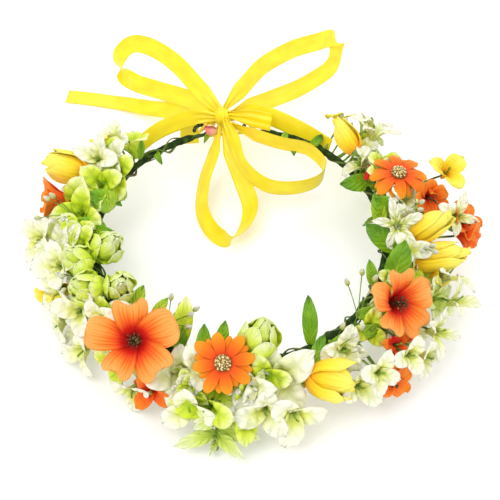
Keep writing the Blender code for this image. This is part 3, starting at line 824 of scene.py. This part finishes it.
def bud_petals(bm, at, girth, length, opened, seed, count=7):
    """Petals wrapped round each other; opened spreads their tips in millimetres."""
    pick = random.Random(seed)
    for index in range(count):
        inner = index / (count - 1)
        wide = girth * (1.02 - 0.45 * inner)
        reach = length * (0.86 + 0.14 * inner) * pick.uniform(0.94, 1.04)
        tip_out = girth * 0.35 * (1 - inner * 0.6) + opened * (1 - inner) * pick.uniform(0.6, 1.3)
        spine = [(1.2, -1.0), (wide * 1.25, length * 0.05), (wide * 1.1 + opened * 0.2, reach * 0.7),
                 (tip_out, reach)]
        petal(bm, turned_by(at, GOLDEN_TURN * index), spine, girth * 1.2, neck=0.42, belly=0.6, tip=2.8,
              point=0.75, across=14, along=22, lap=0.9, ruffle=0.6 + opened * 0.16, waves=3, phase=index * 2,
              ridges=0.12)


# node, azimuth and elevation, girth, length, how far open, roll
ROSEBUDS = (
    ("rosebud_back_left", 165, 12, 9.5, 30, 5.0, 0),
    ("rosebud_back_right", 122, 22, 7.5, 26, 0.8, 30),
    ("rosebud_front", 345, -4, 11, 29, 9.0, 50),
    ("rosebud_right", 5, 10, 9.0, 36, 4.0, 40),
)
for number, (node, azimuth, elevation, girth, length, opened, roll) in enumerate(ROSEBUDS):
    facing = heading(azimuth, elevation)
    points = cad_points(node + "_bud")
    foot = min(point.dot(facing) for point in points)
    sole = [point for point in points if point.dot(facing) < foot + 1 * MM]
    base = sum(sole, Vector()) / len(sole)
    bm = start_bloom()
    bud_petals(bm, looking(base, facing, roll), girth, length, opened, number)
    piece(node + "_wrap", bm, rosebud, "crown", [node + "_bud"], FABRIC_WALL)
    stem(node + "_stalk", node + "_stem", base, facing, calyx=4.0, sepal_length=13)
bm = start_bloom()
bud_petals(bm, looking(beside(354, 14, 12), heading(14, 34), 70), 7.5, 32, 3.0, 12)
piece("rosebud_right_second_wrap", bm, rosebud, "crown", wall=FABRIC_WALL)
facing = heading(195, -10)
base = rim_base("rosebud_low_left", heading(195, -22), 14)
bm = start_bloom()
bud_petals(bm, looking(base, facing, 20), 7.5, 19, 3.0, 9)
piece("rosebud_low_left_wrap", bm, rosebud, "crown", ["rosebud_low_left"], FABRIC_WALL)
stem("rosebud_low_left_stalk", "rosebud_low_left", base, facing, sepal_length=9)

# ------------------------------------------------------------------ cream blossoms
# Open bells of three to five pressed petals, quilted between their veins, cream-white at the
# rim and yellow-green in the throat, with a slender green style. They fill between the heads.
QUILT_CELLS = 4


def quilted_finish(name, stops, crease_shade_colour, puff_light_colour, rough=0.5):
    """Pressed petal cloth with puffed cells between a midrib and slanting side veins."""
    cloth = Finish(name, Roughness=rough, Sheen_Weight=0.05, Specular_IOR_Level=0.3,
                   Subsurface_Weight=0.15, Subsurface_Scale=0.002, Subsurface_Radius=(1, 1, 0.6))
    across, along = cloth.across_along()
    where = cloth.place()
    side = (across - 0.5).size() * 2
    drift = cloth.noise(cloth.vector(across * 3, along * 3), 2, 2)
    slant = (along - side * 0.28 + (drift - 0.5) * 0.10) * pi * QUILT_CELLS
    cell = (slant.sine().size() * (side * 2.6).held()).held()
    crease_shade = (1 - cell * 1.6).held()
    blotch = cloth.noise(where, 60, 2)
    colour = cloth.ramp(along + (blotch - 0.5) * 0.5 + (1 - side) * -0.10, *stops)
    # Painted light and shade: the puffed cells are painted lighter and the seams between them darker, the
    # way the quilting catches light and shade.
    colour = cloth.mix(cell * (1.1 - along).held() * 0.55, colour, puff_light_colour)
    colour = cloth.mix(crease_shade * (1.2 - along).held() * 0.45, colour, crease_shade_colour)
    grain = cloth.noise(where, 2200, 2)
    cloth.feed("Base Color", cloth.mix((grain - 0.5).held() * 0.5, colour, (1, 1, 1), "SOFT_LIGHT"))
    cloth.feed("Roughness", rough - 0.08 + grain * 0.2)
    cloth.bump((cell + grain * 0.08) * ((1 - along) * 5).held(), 0.0007)
    return cloth


# After its colour run, each quilted finish takes its painted shade for the seams, then its painted light for
# the puffed cells.
cream = quilted_finish(
    "cream_petal",
    ((0.05, (0.52, 0.62, 0.004)), (0.26, (0.76, 0.80, 0.06)), (0.44, (0.84, 0.86, 0.42)),
     (0.70, (0.89, 0.89, 0.72))),
    (0.62, 0.68, 0.34), (0.87, 0.88, 0.48),
)
lime = quilted_finish(
    "lime_petal",
    ((0.05, (0.22, 0.42, 0.006)), (0.35, (0.46, 0.64, 0.008)), (0.65, (0.66, 0.78, 0.06)),
     (0.95, (0.90, 0.92, 0.50))),
    (0.34, 0.54, 0.02), (0.66, 0.78, 0.01),
)
pale_lime = quilted_finish(
    "pale_lime_petal",
    ((0.05, (0.40, 0.58, 0.01)), (0.40, (0.60, 0.73, 0.10)), (0.85, (0.82, 0.87, 0.54))),
    (0.50, 0.64, 0.15), (0.68, 0.79, 0.22),
)


def cream_petals(bm, at, spread, count, seed, bell=0.4, slim=0.5, first=0.0, grid=(12, 20)):
    """A bell of quilted petals; bell is how far they stand up, slim their half width."""
    pick = random.Random(seed)
    for index in range(count):
        reach = spread * pick.uniform(0.88, 1.12)
        rise = reach * bell * pick.uniform(0.7, 1.5)
        spine = [(1.0, -reach * 0.30), (reach * 0.22, reach * 0.25), (reach * 0.6, rise * 1.1),
                 (reach, rise * pick.uniform(0.6, 1.1))]
        petal(bm, turned_by(at, first + 360 / count * index + pick.uniform(-10, 10)), spine, reach * slim,
              neck=0.22, belly=0.75, tip=3.2, point=pick.choice((0.55, 0.7, 0.9)), across=grid[0],
              along=grid[1], cup=0.25, lap=0.4, ruffle=0.9, waves=3, phase=index * 2 + seed,
              quilt=reach * 0.085, cells=QUILT_CELLS, sway=pick.uniform(-1.2, 1.2))


def style(bm, at, length, lean=0.5):
    """A slender style standing in the throat."""
    spots = interpolate_bezier(Vector((0, 0, 0)), Vector((0, 0, length * 0.5)),
                               Vector((lean, 0, length * 0.8)), Vector((lean * 3, lean, length)), 7)
    radii = [radius * MM for radius in (0.8, 0.7, 0.6, 0.55, 0.5, 0.6, 0.75)]
    tube(bm, [at @ spot for spot in spots], radii, 6)


# node, azimuth and elevation of the CAD cup, its depth, then those the bell looks at, spread, petals
BLOSSOMS = (
    ("blossom_back_left", 150, 70, 12, 215, 60, 14, 4),
    ("blossom_left_middle", 182, 6, 12, 215, 48, 17, 4),
    ("blossom_left_low", 206, -30, 14, 220, 25, 13, 4),
    ("blossom_front_left", 250, -14, 13, 258, 40, 20, 4),
    ("blossom_front_middle", 284, 14, 14, 280, 44, 24, 4),
    ("blossom_front_right", 316, 24, 13, 285, 45, 14, 4),
    ("blossom_right_low", 325, -22, 14, 300, 24, 16, 4),
    ("blossom_right_edge", 340, -4, 14, 330, 30, 14, 5),
    ("blossom_right_top", 330, 72, 12, 265, 58, 16, 5),
    ("lily_back_right", 48, 8, 16, 20, 50, 15, 5),
)
for number, row in enumerate(BLOSSOMS):
    node, cad_azimuth, cad_elevation, depth, azimuth, elevation, spread, count = row
    base = rim_base(node, heading(cad_azimuth, cad_elevation), depth)
    facing = heading(azimuth, elevation)
    slim = 0.30 if node in ("lily_back_right", "blossom_right_top") else 0.64
    bm = start_bloom()
    cream_petals(bm, looking(base, facing, 31 * number), spread, count, number, 0.5, slim)
    cloth = pale_lime if node in ("lily_back_right", "blossom_right_edge") else cream
    piece(node + "_bell", bm, cloth, "crown", [node], FABRIC_WALL)
    stem(node + "_stalk", node, base, facing, calyx=2.4, sepal_length=5)
    bm = start_bloom()
    style(bm, looking(base, facing, 20 * number), spread * 0.75)
    piece(node + "_style", bm, stem_green, "crown")

# ------------------------------------------------------------------ hop cones
# Fat lime cones of cupped, quilted scales in three tiers, pale at their rims, on short stalks.
# The last two colours are painted shade for the seams and painted light for the puffed cells.
hop_scale = quilted_finish(
    "hop_scale",
    ((0.0, (0.26, 0.50, 0.004)), (0.32, (0.50, 0.70, 0.008)), (0.64, (0.70, 0.83, 0.08)),
     (0.95, (0.82, 0.88, 0.52))),
    (0.36, 0.55, 0.02), (0.76, 0.86, 0.015),
)
# each tier's girth, height and girth at its tips, as shares of the cone's girth and length
HOP_TIERS = ((1.16, 0.72, 0.80), (0.96, 0.92, 0.48), (0.66, 1.06, 0.16))


def hop_scales(bm, at, girth, length, seed):
    """Tiers of three cupped scales, each lapped over the next, round a solid heart."""
    pick = random.Random(seed)
    for tier, (wide, top, close) in enumerate(HOP_TIERS):
        for index in range(3):
            reach = length * top * pick.uniform(0.95, 1.05)
            across = girth * wide
            spine = [(0.8, 0.0), (across * 1.25, length * 0.02), (across * 1.20, reach * 0.66),
                     (girth * close, reach)]
            petal(bm, turned_by(at, 120 * index + 60 * tier + pick.uniform(-8, 8)), spine, across * 1.15,
                  neck=0.35, belly=0.5, tip=2.6, point=0.7, across=16, along=24, lap=0.35, ruffle=0.7,
                  phase=index + tier, quilt=1.5, cells=QUILT_CELLS)
    heart = bmesh.ops.create_uvsphere(bm, u_segments=16, v_segments=10, radius=1, calc_uvs=True)["verts"]
    bmesh.ops.scale(bm, verts=heart, vec=(girth * 0.62, girth * 0.62, length * 0.44))
    bmesh.ops.transform(bm, matrix=at @ Matrix.Translation((0, 0, length * 0.48)), verts=heart)


# node, azimuth and elevation, girth, length
HOPS = (
    ("hop_left_upper", 340, 62, 8, 19), ("hop_left_outer", 190, 56, 8, 19),
    ("hop_left_lower", 215, 50, 8.5, 21), ("hop_front", 0, 80, 9.5, 26),
)
for number, (node, azimuth, elevation, girth, length) in enumerate(HOPS):
    facing = heading(azimuth, elevation)
    top = max(cad_points(node), key=lambda point: point.dot(facing))
    base = top - facing * length * MM
    bm = start_bloom()
    hop_scales(bm, looking(base, facing, 25 * number), girth * 1.12, length * 1.05, number + 40)
    piece(node + "_cone", bm, hop_scale, "crown", [node], FABRIC_WALL)
    stem(node + "_stalk", node, base, facing, calyx=2.2, sepal_length=4)
bm = start_bloom()
hop_scales(bm, looking(beside(214, -4, 14), heading(280, 62), 50), 8.5, 19, 47)
piece("hop_left_inner_cone", bm, hop_scale, "crown", wall=FABRIC_WALL)

# ------------------------------------------------------------------ leaves
# Pressed polyester leaves, printed from lime at the foot to mid green, with raised veins and
# a wired midrib. Some stand up beside the heads and some rest on the table.
leaf_cloth = Finish("leaf_fabric", Roughness=0.48)
across, along = leaf_cloth.across_along()
where = leaf_cloth.place()
side = (across - 0.5).size() * 2
slant = ((along - side * 0.30) * pi * 6).sine().size()
vein = ((1 - slant * 4).held() * 0.7 + (1 - side * 14).held()).held()
patch = leaf_cloth.noise(where, 26, 2)
tone = patch + (leaf_cloth.noise(where, 160, 3) - 0.5) * 0.35 + (0.5 - along) * 0.25
leaf_colour = leaf_cloth.ramp(tone, (0.26, (0.08, 0.24, 0.004)), (0.42, (0.18, 0.42, 0.006)),
                              (0.56, (0.33, 0.57, 0.010)), (0.72, (0.54, 0.70, 0.03)))
leaf_cloth.feed("Base Color", leaf_cloth.mix(vein * 0.35, leaf_colour, (0.50, 0.66, 0.10)))
fine = leaf_cloth.noise(where, 2400, 2)
leaf_cloth.feed("Roughness", 0.36 + fine * 0.25)
leaf_cloth.bump(slant * 0.9 - vein * 0.4 + fine * 0.12, 0.0004)


def leaf(bm, point, along, face, length, half, bend, fold=0.35, seed=0, end=0.85, grid=(12, 22)):
    """A leaf from a point: along is the way it grows and face the way its upper side looks."""
    along = along.normalized()
    level = (face - along * face.dot(along)).normalized()
    turn = Matrix((along, level.cross(along), level)).transposed().to_4x4()
    at = Matrix.Translation(point) @ turn @ Matrix.Scale(MM, 4)
    spine = [(0, 0), (length * 0.35, bend * 0.9), (length * 0.7, bend), (length, bend * 0.1 - bend * 0.5)]
    petal(bm, at, spine, half, neck=0.10, belly=0.55, tip=2.2, point=end, across=grid[0], along=grid[1],
          cup=fold, ruffle=half * 0.10, waves=4, phase=seed, quilt=half * 0.09, cells=5,
          sway=sin(seed * 2.3) * 2, wrap=False)


# node, azimuth and elevation it grows in, length, half width
LEAVES = (
    ("leaf_front_up", 78, 46, 31, 10), ("leaf_front_right", 90, 60, 31, 8), ("leaf_right", 118, 46, 23, 8),
    ("leaf_rest_left", 145, -38, 34, 8), ("leaf_rest_right", 30, -38, 34, 8),
)
for number, (node, azimuth, elevation, length, half) in enumerate(LEAVES):
    bm = start_bloom()
    leaf(bm, foot_of(node), heading(azimuth, elevation), toward_camera, length, half, 3, seed=number)
    cloth = lime if node == "leaf_front_up" else leaf_cloth
    piece(node + "_blade", bm, cloth, "crown", [node], FABRIC_WALL)

# ------------------------------------------------------------------ filling
# Small bells, bracts, leaves and bud sprays, wired on between the heads so that the front
# two thirds of the hoop is covered all round; they are moved back under the turning heads.
# the heads that turn, with how far their petals reach
HEADS = (
    (*joint["hibiscus_left_head"], 29), (*joint["hibiscus_right_head"], 26),
    (*joint["zinnia_front_head"], 18), (*joint["zinnia_back_head"], 21), (*joint["trumpet_left_head"], 18),
)


def behind_heads(point, room=2.0):
    """Moves a point back until it is under the turning heads instead of among their petals."""
    for base, facing, reach in HEADS:
        offset = (point - base) / MM
        height = offset.dot(facing)
        across = (offset - facing * height).length
        cone = height - across * 0.55
        if across < reach + room and -4 < height < 30 and cone > -room:
            point = point - facing * (cone + room) * MM
    return point


def is_clear(point):
    """True where a tip stays out from among the petals of every head."""
    return (behind_heads(point, 3) - point).length == 0


def from_hoop(bm, point, radius=0.7):
    """A thin wired stalk from the nearest place on the hoop to a point."""
    clock = nearest_clock(point)
    foot = beside(clock)
    lift = (point - foot).length * 0.4
    before = point - (point - foot).normalized() * lift
    route = interpolate_bezier(foot, foot + outward(clock) * lift, before, point, 9)
    tube(bm, route, [radius * MM] * 9, 6)


red_petal = petal_finish(
    "red_petal", ((0.0, (0.90, 0.22, 0.01)), (0.25, (0.86, 0.02, 0.006)), (1.0, (0.80, 0.006, 0.01))),
    streaks=0.10, veins=0.15, vein_count=7, vein_colour=(0.55, 0.004, 0.004),
)
# clock, out, up, azimuth, elevation, spread, petals, half width
CREAM_FILL = (
    (40, 20, 16, 60, 62, 14, 4, 0.26), (44, 28, 12, 80, 50, 12, 3, 0.26),
    (152, 11, 20, 235, 62, 13, 4, 0.50), (139, 15, 14, 200, 70, 11, 3, 0.55),
    (169, 38, -4, 205, 35, 13, 3, 0.50), (180, 31, 0, 220, 40, 14, 4, 0.50),
    (195, 21, 10, 225, 55, 14, 4, 0.52), (200, 24, -2, 215, 20, 12, 3, 0.50),
    (212, 21, 6, 240, 40, 12, 3, 0.55), (206, 28, -14, 215, 8, 12, 3, 0.50),
    (220, 10, 8, 230, 60, 12, 3, 0.60), (256, 27, -6, 262, 14, 15, 3, 0.58),
    (238, 26, -15, 250, 4, 12, 3, 0.50), (218, 26, -14, 225, 6, 13, 3, 0.50),
    (274, 19, 8, 250, 30, 13, 3, 0.55), (277, 30, -4, 262, 24, 14, 3, 0.55),
    (284, 34, -6, 282, 12, 15, 3, 0.55), (302, 36, 0, 300, 28, 12, 3, 0.55),
    (308, 38, 4, 300, 38, 12, 4, 0.50), (317, 42, 6, 300, 34, 11, 3, 0.55),
    (322, 46, -4, 310, 16, 12, 3, 0.50), (328, 44, 2, 330, 30, 14, 4, 0.28),
    (34, 3, 10, 190, 40, 12, 2, 0.50), (2, 42, 16, 300, 50, 12, 4, 0.30),
    (304, 17, 10, 275, 45, 12, 3, 0.60), (160, 18, 4, 190, 25, 11, 3, 0.5),
    (30, 12, 2, 60, 30, 11, 3, 0.45), (346, 38, 2, 20, 45, 15, 3, 0.28),
    (340, 46, -2, 350, 40, 13, 3, 0.28), (344, 30, -8, 345, 5, 12, 3, 0.5),
)
LIME_FILL = (
    (138, 2, 12, 120, 55, 13, 3, 0.55), (152, -2, 12, 250, 55, 13, 3, 0.55),
    (174, 8, 12, 235, 60, 15, 3, 0.60), (160, 2, 14, 250, 60, 14, 3, 0.60),
    (146, 8, 10, 120, 60, 13, 3, 0.55), (168, 18, 6, 240, 50, 14, 2, 0.60),
    (182, 17, 4, 215, 45, 12, 3, 0.55), (262, 27, -6, 232, 28, 16, 2, 0.50),
    (270, 25, -6, 305, 28, 16, 2, 0.50), (278, 16, 10, 268, 34, 13, 3, 0.55),
    (316, 14, 6, 290, 50, 11, 3, 0.55), (188, 6, 10, 215, 60, 11, 3, 0.6),
    (230, 20, -8, 240, 10, 13, 3, 0.5), (292, 14, 2, 285, 45, 11, 3, 0.5),
    (330, 20, 0, 320, 30, 12, 3, 0.5), (350, 14, 4, 340, 35, 12, 3, 0.5),
    (16, 10, 4, 20, 35, 12, 3, 0.5), (204, 8, 4, 220, 50, 11, 3, 0.55),
)
RED_FILL = (
    (31, 8, 12, 185, 20, 9, 1, 0.5), (186, 18, -4, 215, 30, 8, 2, 0.5), (318, 30, 2, 290, 20, 10, 2, 0.5),
)
ORANGE_FILL = (
    (244, 24, -8, 250, 20, 11, 3, 0.5), (214, 12, 2, 240, 40, 8, 3, 0.5),
    (240, 20, -12, 245, -5, 9, 2, 0.5), (318, 34, 6, 300, 45, 10, 3, 0.5),
    (322, 30, -2, 300, 5, 9, 2, 0.5), (183, 22, -8, 210, 10, 9, 2, 0.5), (0, 46, 4, 330, 0, 13, 3, 0.5),
    (14, 26, 6, 30, 30, 12, 3, 0.5),
)
YELLOW_FILL = (
    (21, 49, 5, 330, 66, 12, 3, 0.55), (54, 20, 10, 100, 40, 10, 3, 0.5),
    (143, 20, 8, 110, 40, 12, 2, 0.6), (346, 30, 2, 350, 20, 12, 3, 0.5),
    (196, 30, -12, 215, 0, 10, 2, 0.5),
)
# how much larger and wider the petals are than the tables say, and how many bells are scattered
FILL_SCALE, FILL_WIDTH, SCATTERED = 1.2, 1.25, 70
# corners across and along each petal or leaf that is listed in the tables, and each that is scattered
SET_GRID, SCATTERED_GRID = (8, 14), (6, 12)
FILL = (
    ("cream", cream, "cream_petal", CREAM_FILL, SCATTERED),
    ("lime", lime, "hop_scale", LIME_FILL, SCATTERED),
    ("orange", trumpet, "trumpet_petal", ORANGE_FILL, 0),
    ("yellow", rosebud, "rosebud_petal", YELLOW_FILL, 0),
    ("red", red_petal, "trumpet_petal", RED_FILL, 0),
)
for name, finish, slot, rows, extra in FILL:
    bells, stalks = start_bloom(), start_bloom()
    for number, (clock, out, up, azimuth, elevation, spread, count, slim) in enumerate(rows):
        point = behind_heads(beside(clock, out, up))
        at = looking(point, heading(azimuth, elevation))
        cream_petals(bells, at, spread * FILL_SCALE, count, 70 + number, 0.45, slim * FILL_WIDTH,
                     53 * number, SET_GRID)
        style(stalks, at, spread * 0.6)
        from_hoop(stalks, point)
    chance = random.Random(len(name))
    for number in range(extra):
        clock = chance.choice((chance.uniform(142, 282), chance.uniform(320, 402)))
        rise = chance.uniform(-50, 55)
        away = chance.uniform(6, 20)
        point = beside(clock, away * cos(radians(rise)), away * sin(radians(rise)))
        side_way = outward(clock) * cos(radians(rise)) + Vector((0, 0, sin(radians(rise))))
        facing = (side_way + toward_camera * 0.7).normalized()
        reach = chance.uniform(10, 14)
        if is_clear(point + facing * reach * 0.8 * MM):
            cream_petals(bells, looking(point, facing), reach, 3, 200 + number, 0.5, 0.72, 71 * number,
                         SCATTERED_GRID)
            from_hoop(stalks, point)
    piece(name + "_filling", bells, finish, "crown", wall=FABRIC_WALL)
    piece(name + "_filling_stalks", stalks, stem_green, "crown")

# clock, out, up, azimuth, elevation, length, half width
LEAF_FILL = (
    (166, -2, 14, 200, 50, 24, 12), (158, -4, 10, 160, 40, 20, 10), (150, 3, 12, 100, 50, 20, 9),
    (178, 2, 10, 190, 40, 22, 10), (256, -2, 12, 100, 60, 24, 8), (238, -8, 10, 110, 55, 22, 8),
    (168, -2, 12, 200, 50, 18, 8), (182, -5, 14, 330, 30, 20, 5), (221, -9, 8, 45, 45, 22, 8),
    (229, -16, 6, 50, 40, 17, 6), (246, -4, 6, 90, 50, 20, 7), (272, 2, 8, 25, 40, 20, 8),
    (262, -12, 8, 85, 60, 20, 7), (312, 12, 6, 15, 10, 34, 8), (297, 9, 8, 60, 30, 21, 7),
    (10, -1, 12, 210, 55, 24, 13), (355, -3, 12, 150, 40, 25, 11), (340, 10, 20, 60, 65, 31, 13),
    (332, -2, 20, 120, 60, 17, 6), (30, -4, 4, 195, 20, 24, 10), (262, 12, 10, 80, 50, 20, 8),
    (174, 4, 8, 250, 40, 20, 8), (71, -3, 1, 60, 10, 10, 4), (65, -6, -2, 280, 10, 11, 5),
    (58, 3, 2, 30, 20, 12, 5), (105, -3, 0, 250, 5, 9, 3), (128, -4, 0, 300, 5, 12, 4),
    (133, 4, 6, 80, 30, 14, 5), (160, -6, 4, 310, 10, 14, 5), (192, -4, 4, 340, 10, 14, 5),
    (285, 8, 4, 330, 20, 20, 6), (322, 8, 8, 350, 30, 20, 7),
)
bm = start_bloom()
for number, (clock, out, up, azimuth, elevation, length, half) in enumerate(LEAF_FILL):
    along = heading(azimuth, elevation)
    middle = behind_heads(beside(clock, out, up))
    foot = middle - along * length * 0.5 * MM
    leaf(bm, foot, along, toward_camera, length, half, 3, seed=20 + number, grid=SET_GRID)
SCATTERED_LEAVES = 190
chance = random.Random(5)
for number in range(SCATTERED_LEAVES):
    clock = chance.choice((chance.uniform(140, 282), chance.uniform(318, 405), chance.uniform(150, 400)))
    angle = chance.uniform(0, 360)
    side_way = outward(clock) * cos(radians(angle)) + Vector((0, 0, sin(radians(angle))))
    sideways = heading(clock + 90 * chance.choice((-1, 1)), 0)
    along = (side_way + sideways * chance.uniform(0.3, 1.0)).normalized()
    length = chance.uniform(14, 23)
    foot = beside(clock) + side_way * 1.5 * MM
    tip = foot + along * length * MM
    if (behind_heads(tip, 3) - foot - along * length * MM).length == 0:
        half = length * chance.uniform(0.28, 0.42)
        leaf(bm, foot, along, side_way, length, half, chance.uniform(1, 4), seed=number, grid=SCATTERED_GRID)
piece("leaf_filling", bm, leaf_cloth, "crown", wall=FABRIC_WALL)

# ------------------------------------------------------------------ bud sprays
# Hair-thin stems that fork towards tiny closed cream buds and stray between the heads; one
# pink bud is tucked in where the ribbon is tied to the left eyelet.
# clock it starts at, out and up of the first fork, azimuth and elevation, length, buds
SPRAYS = (
    (240, -6, 12, 30, 25, 20, 5), (316, 6, 12, 70, 30, 30, 4), (6, 14, 14, 300, 40, 14, 5),
    (176, 12, 14, 200, 30, 26, 5), (200, 14, 8, 230, 30, 16, 4), (300, 14, 6, 20, 40, 26, 4),
    (50, 10, 6, 60, 50, 16, 3), (348, 22, 18, 300, 50, 12, 4), (150, 8, 10, 100, 50, 12, 4),
    (270, 18, 6, 280, 20, 16, 4),
)
twigs, tips = start_bloom(), start_bloom()
for clock, out, up, azimuth, elevation, length, count in SPRAYS:
    fork = behind_heads(beside(clock, out, up))
    from_hoop(twigs, fork, 0.55)
    for number in range(count):
        way = heading(azimuth + 26 * (number - (count - 1) / 2), elevation + 14 * sin(number * 2.1))
        end = fork + way * length * MM * (0.65 + (0.12 * number) % 0.35)
        rise = fork.lerp(end, 0.5) + Vector((0, 0, 0.002))
        tube(twigs, interpolate_bezier(fork, rise, rise, end, 8), [0.32 * MM] * 8, 5)
        at = looking(end, way, 40 * number)
        for side in range(3):
            spine = [(0.3, -0.6), (2.0, 0.2), (1.9, 2.4), (0.3, 4.2)]
            petal(tips, turned_by(at, 120 * side), spine, 2.1, neck=0.4, belly=0.5, tip=3, across=5, along=8)
piece("spray_twigs", twigs, stem_green, "crown")
piece("spray_buds", tips, cream, "crown", wall=0.2 * MM)
pink = petal_finish(
    "pink_bud", ((0.0, (0.90, 0.62, 0.30)), (0.4, (0.95, 0.45, 0.32)), (1.0, (0.90, 0.16, 0.14))),
    streaks=0.12, veins=0.15, vein_count=5, vein_colour=(0.75, 0.10, 0.10),
)
bm = start_bloom()
bud_petals(bm, looking(beside(101, -3, 5), heading(190, 25)), 2.6, 9, 0.6, 31, count=4)
piece("pink_bud_wrap", bm, pink, "crown", wall=0.2 * MM)

# ------------------------------------------------------------------ front sprig
# A soft moulded twig that hangs from the middle of the front and lies on the table, with
# pairs of slim two-tone leaves and a few closed buds at its tip.
sprig_low, sprig_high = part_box("sprig_front")
top = beside(264, 24, -4)
tip = Vector(((sprig_low.x + sprig_high.x) / 2, sprig_low.y + 0.004, 0.004))
bend = top.lerp(tip, 0.5) + Vector((0, -0.002, 0.004))
bm = start_bloom()
route = interpolate_bezier(top, bend, bend, tip, 14)
tube(bm, route, [(1.3 - 0.05 * i) * MM for i in range(14)], 8)
bud_radii = [radius * MM for radius in (0.6, 0.6, 0.6, 0.9, 1.3, 1.2, 0.5)]
for share, azimuth, length in ((0.75, 262, 10), (1.0, 256, 9), (1.0, 275, 7)):
    start = route[int(share * 13)]
    end = start + heading(azimuth, 4) * length * MM
    tube(bm, [start.lerp(end, i / 6) for i in range(7)], bud_radii, 8)
piece("sprig_twig", bm, stem_green, "crown")
bm = start_bloom()
# how far down the twig, azimuth and elevation, length, half width
SPRIG_LEAVES = (
    (0.45, 335, 12, 24, 8), (0.50, 205, 8, 15, 7), (0.82, 345, 8, 26, 8), (0.88, 202, 4, 26, 8),
    (0.92, 308, 4, 24, 7.5), (1.0, 262, 10, 12, 4),
)
for number, (share, azimuth, elevation, length, half) in enumerate(SPRIG_LEAVES):
    start = route[int(share * 13)]
    leaf(bm, start, heading(azimuth, elevation), toward_camera, length, half, 3, 0.3, number, 0.95)
piece("sprig_leaves", bm, pale_lime, "crown", ["sprig_front"], FABRIC_WALL)
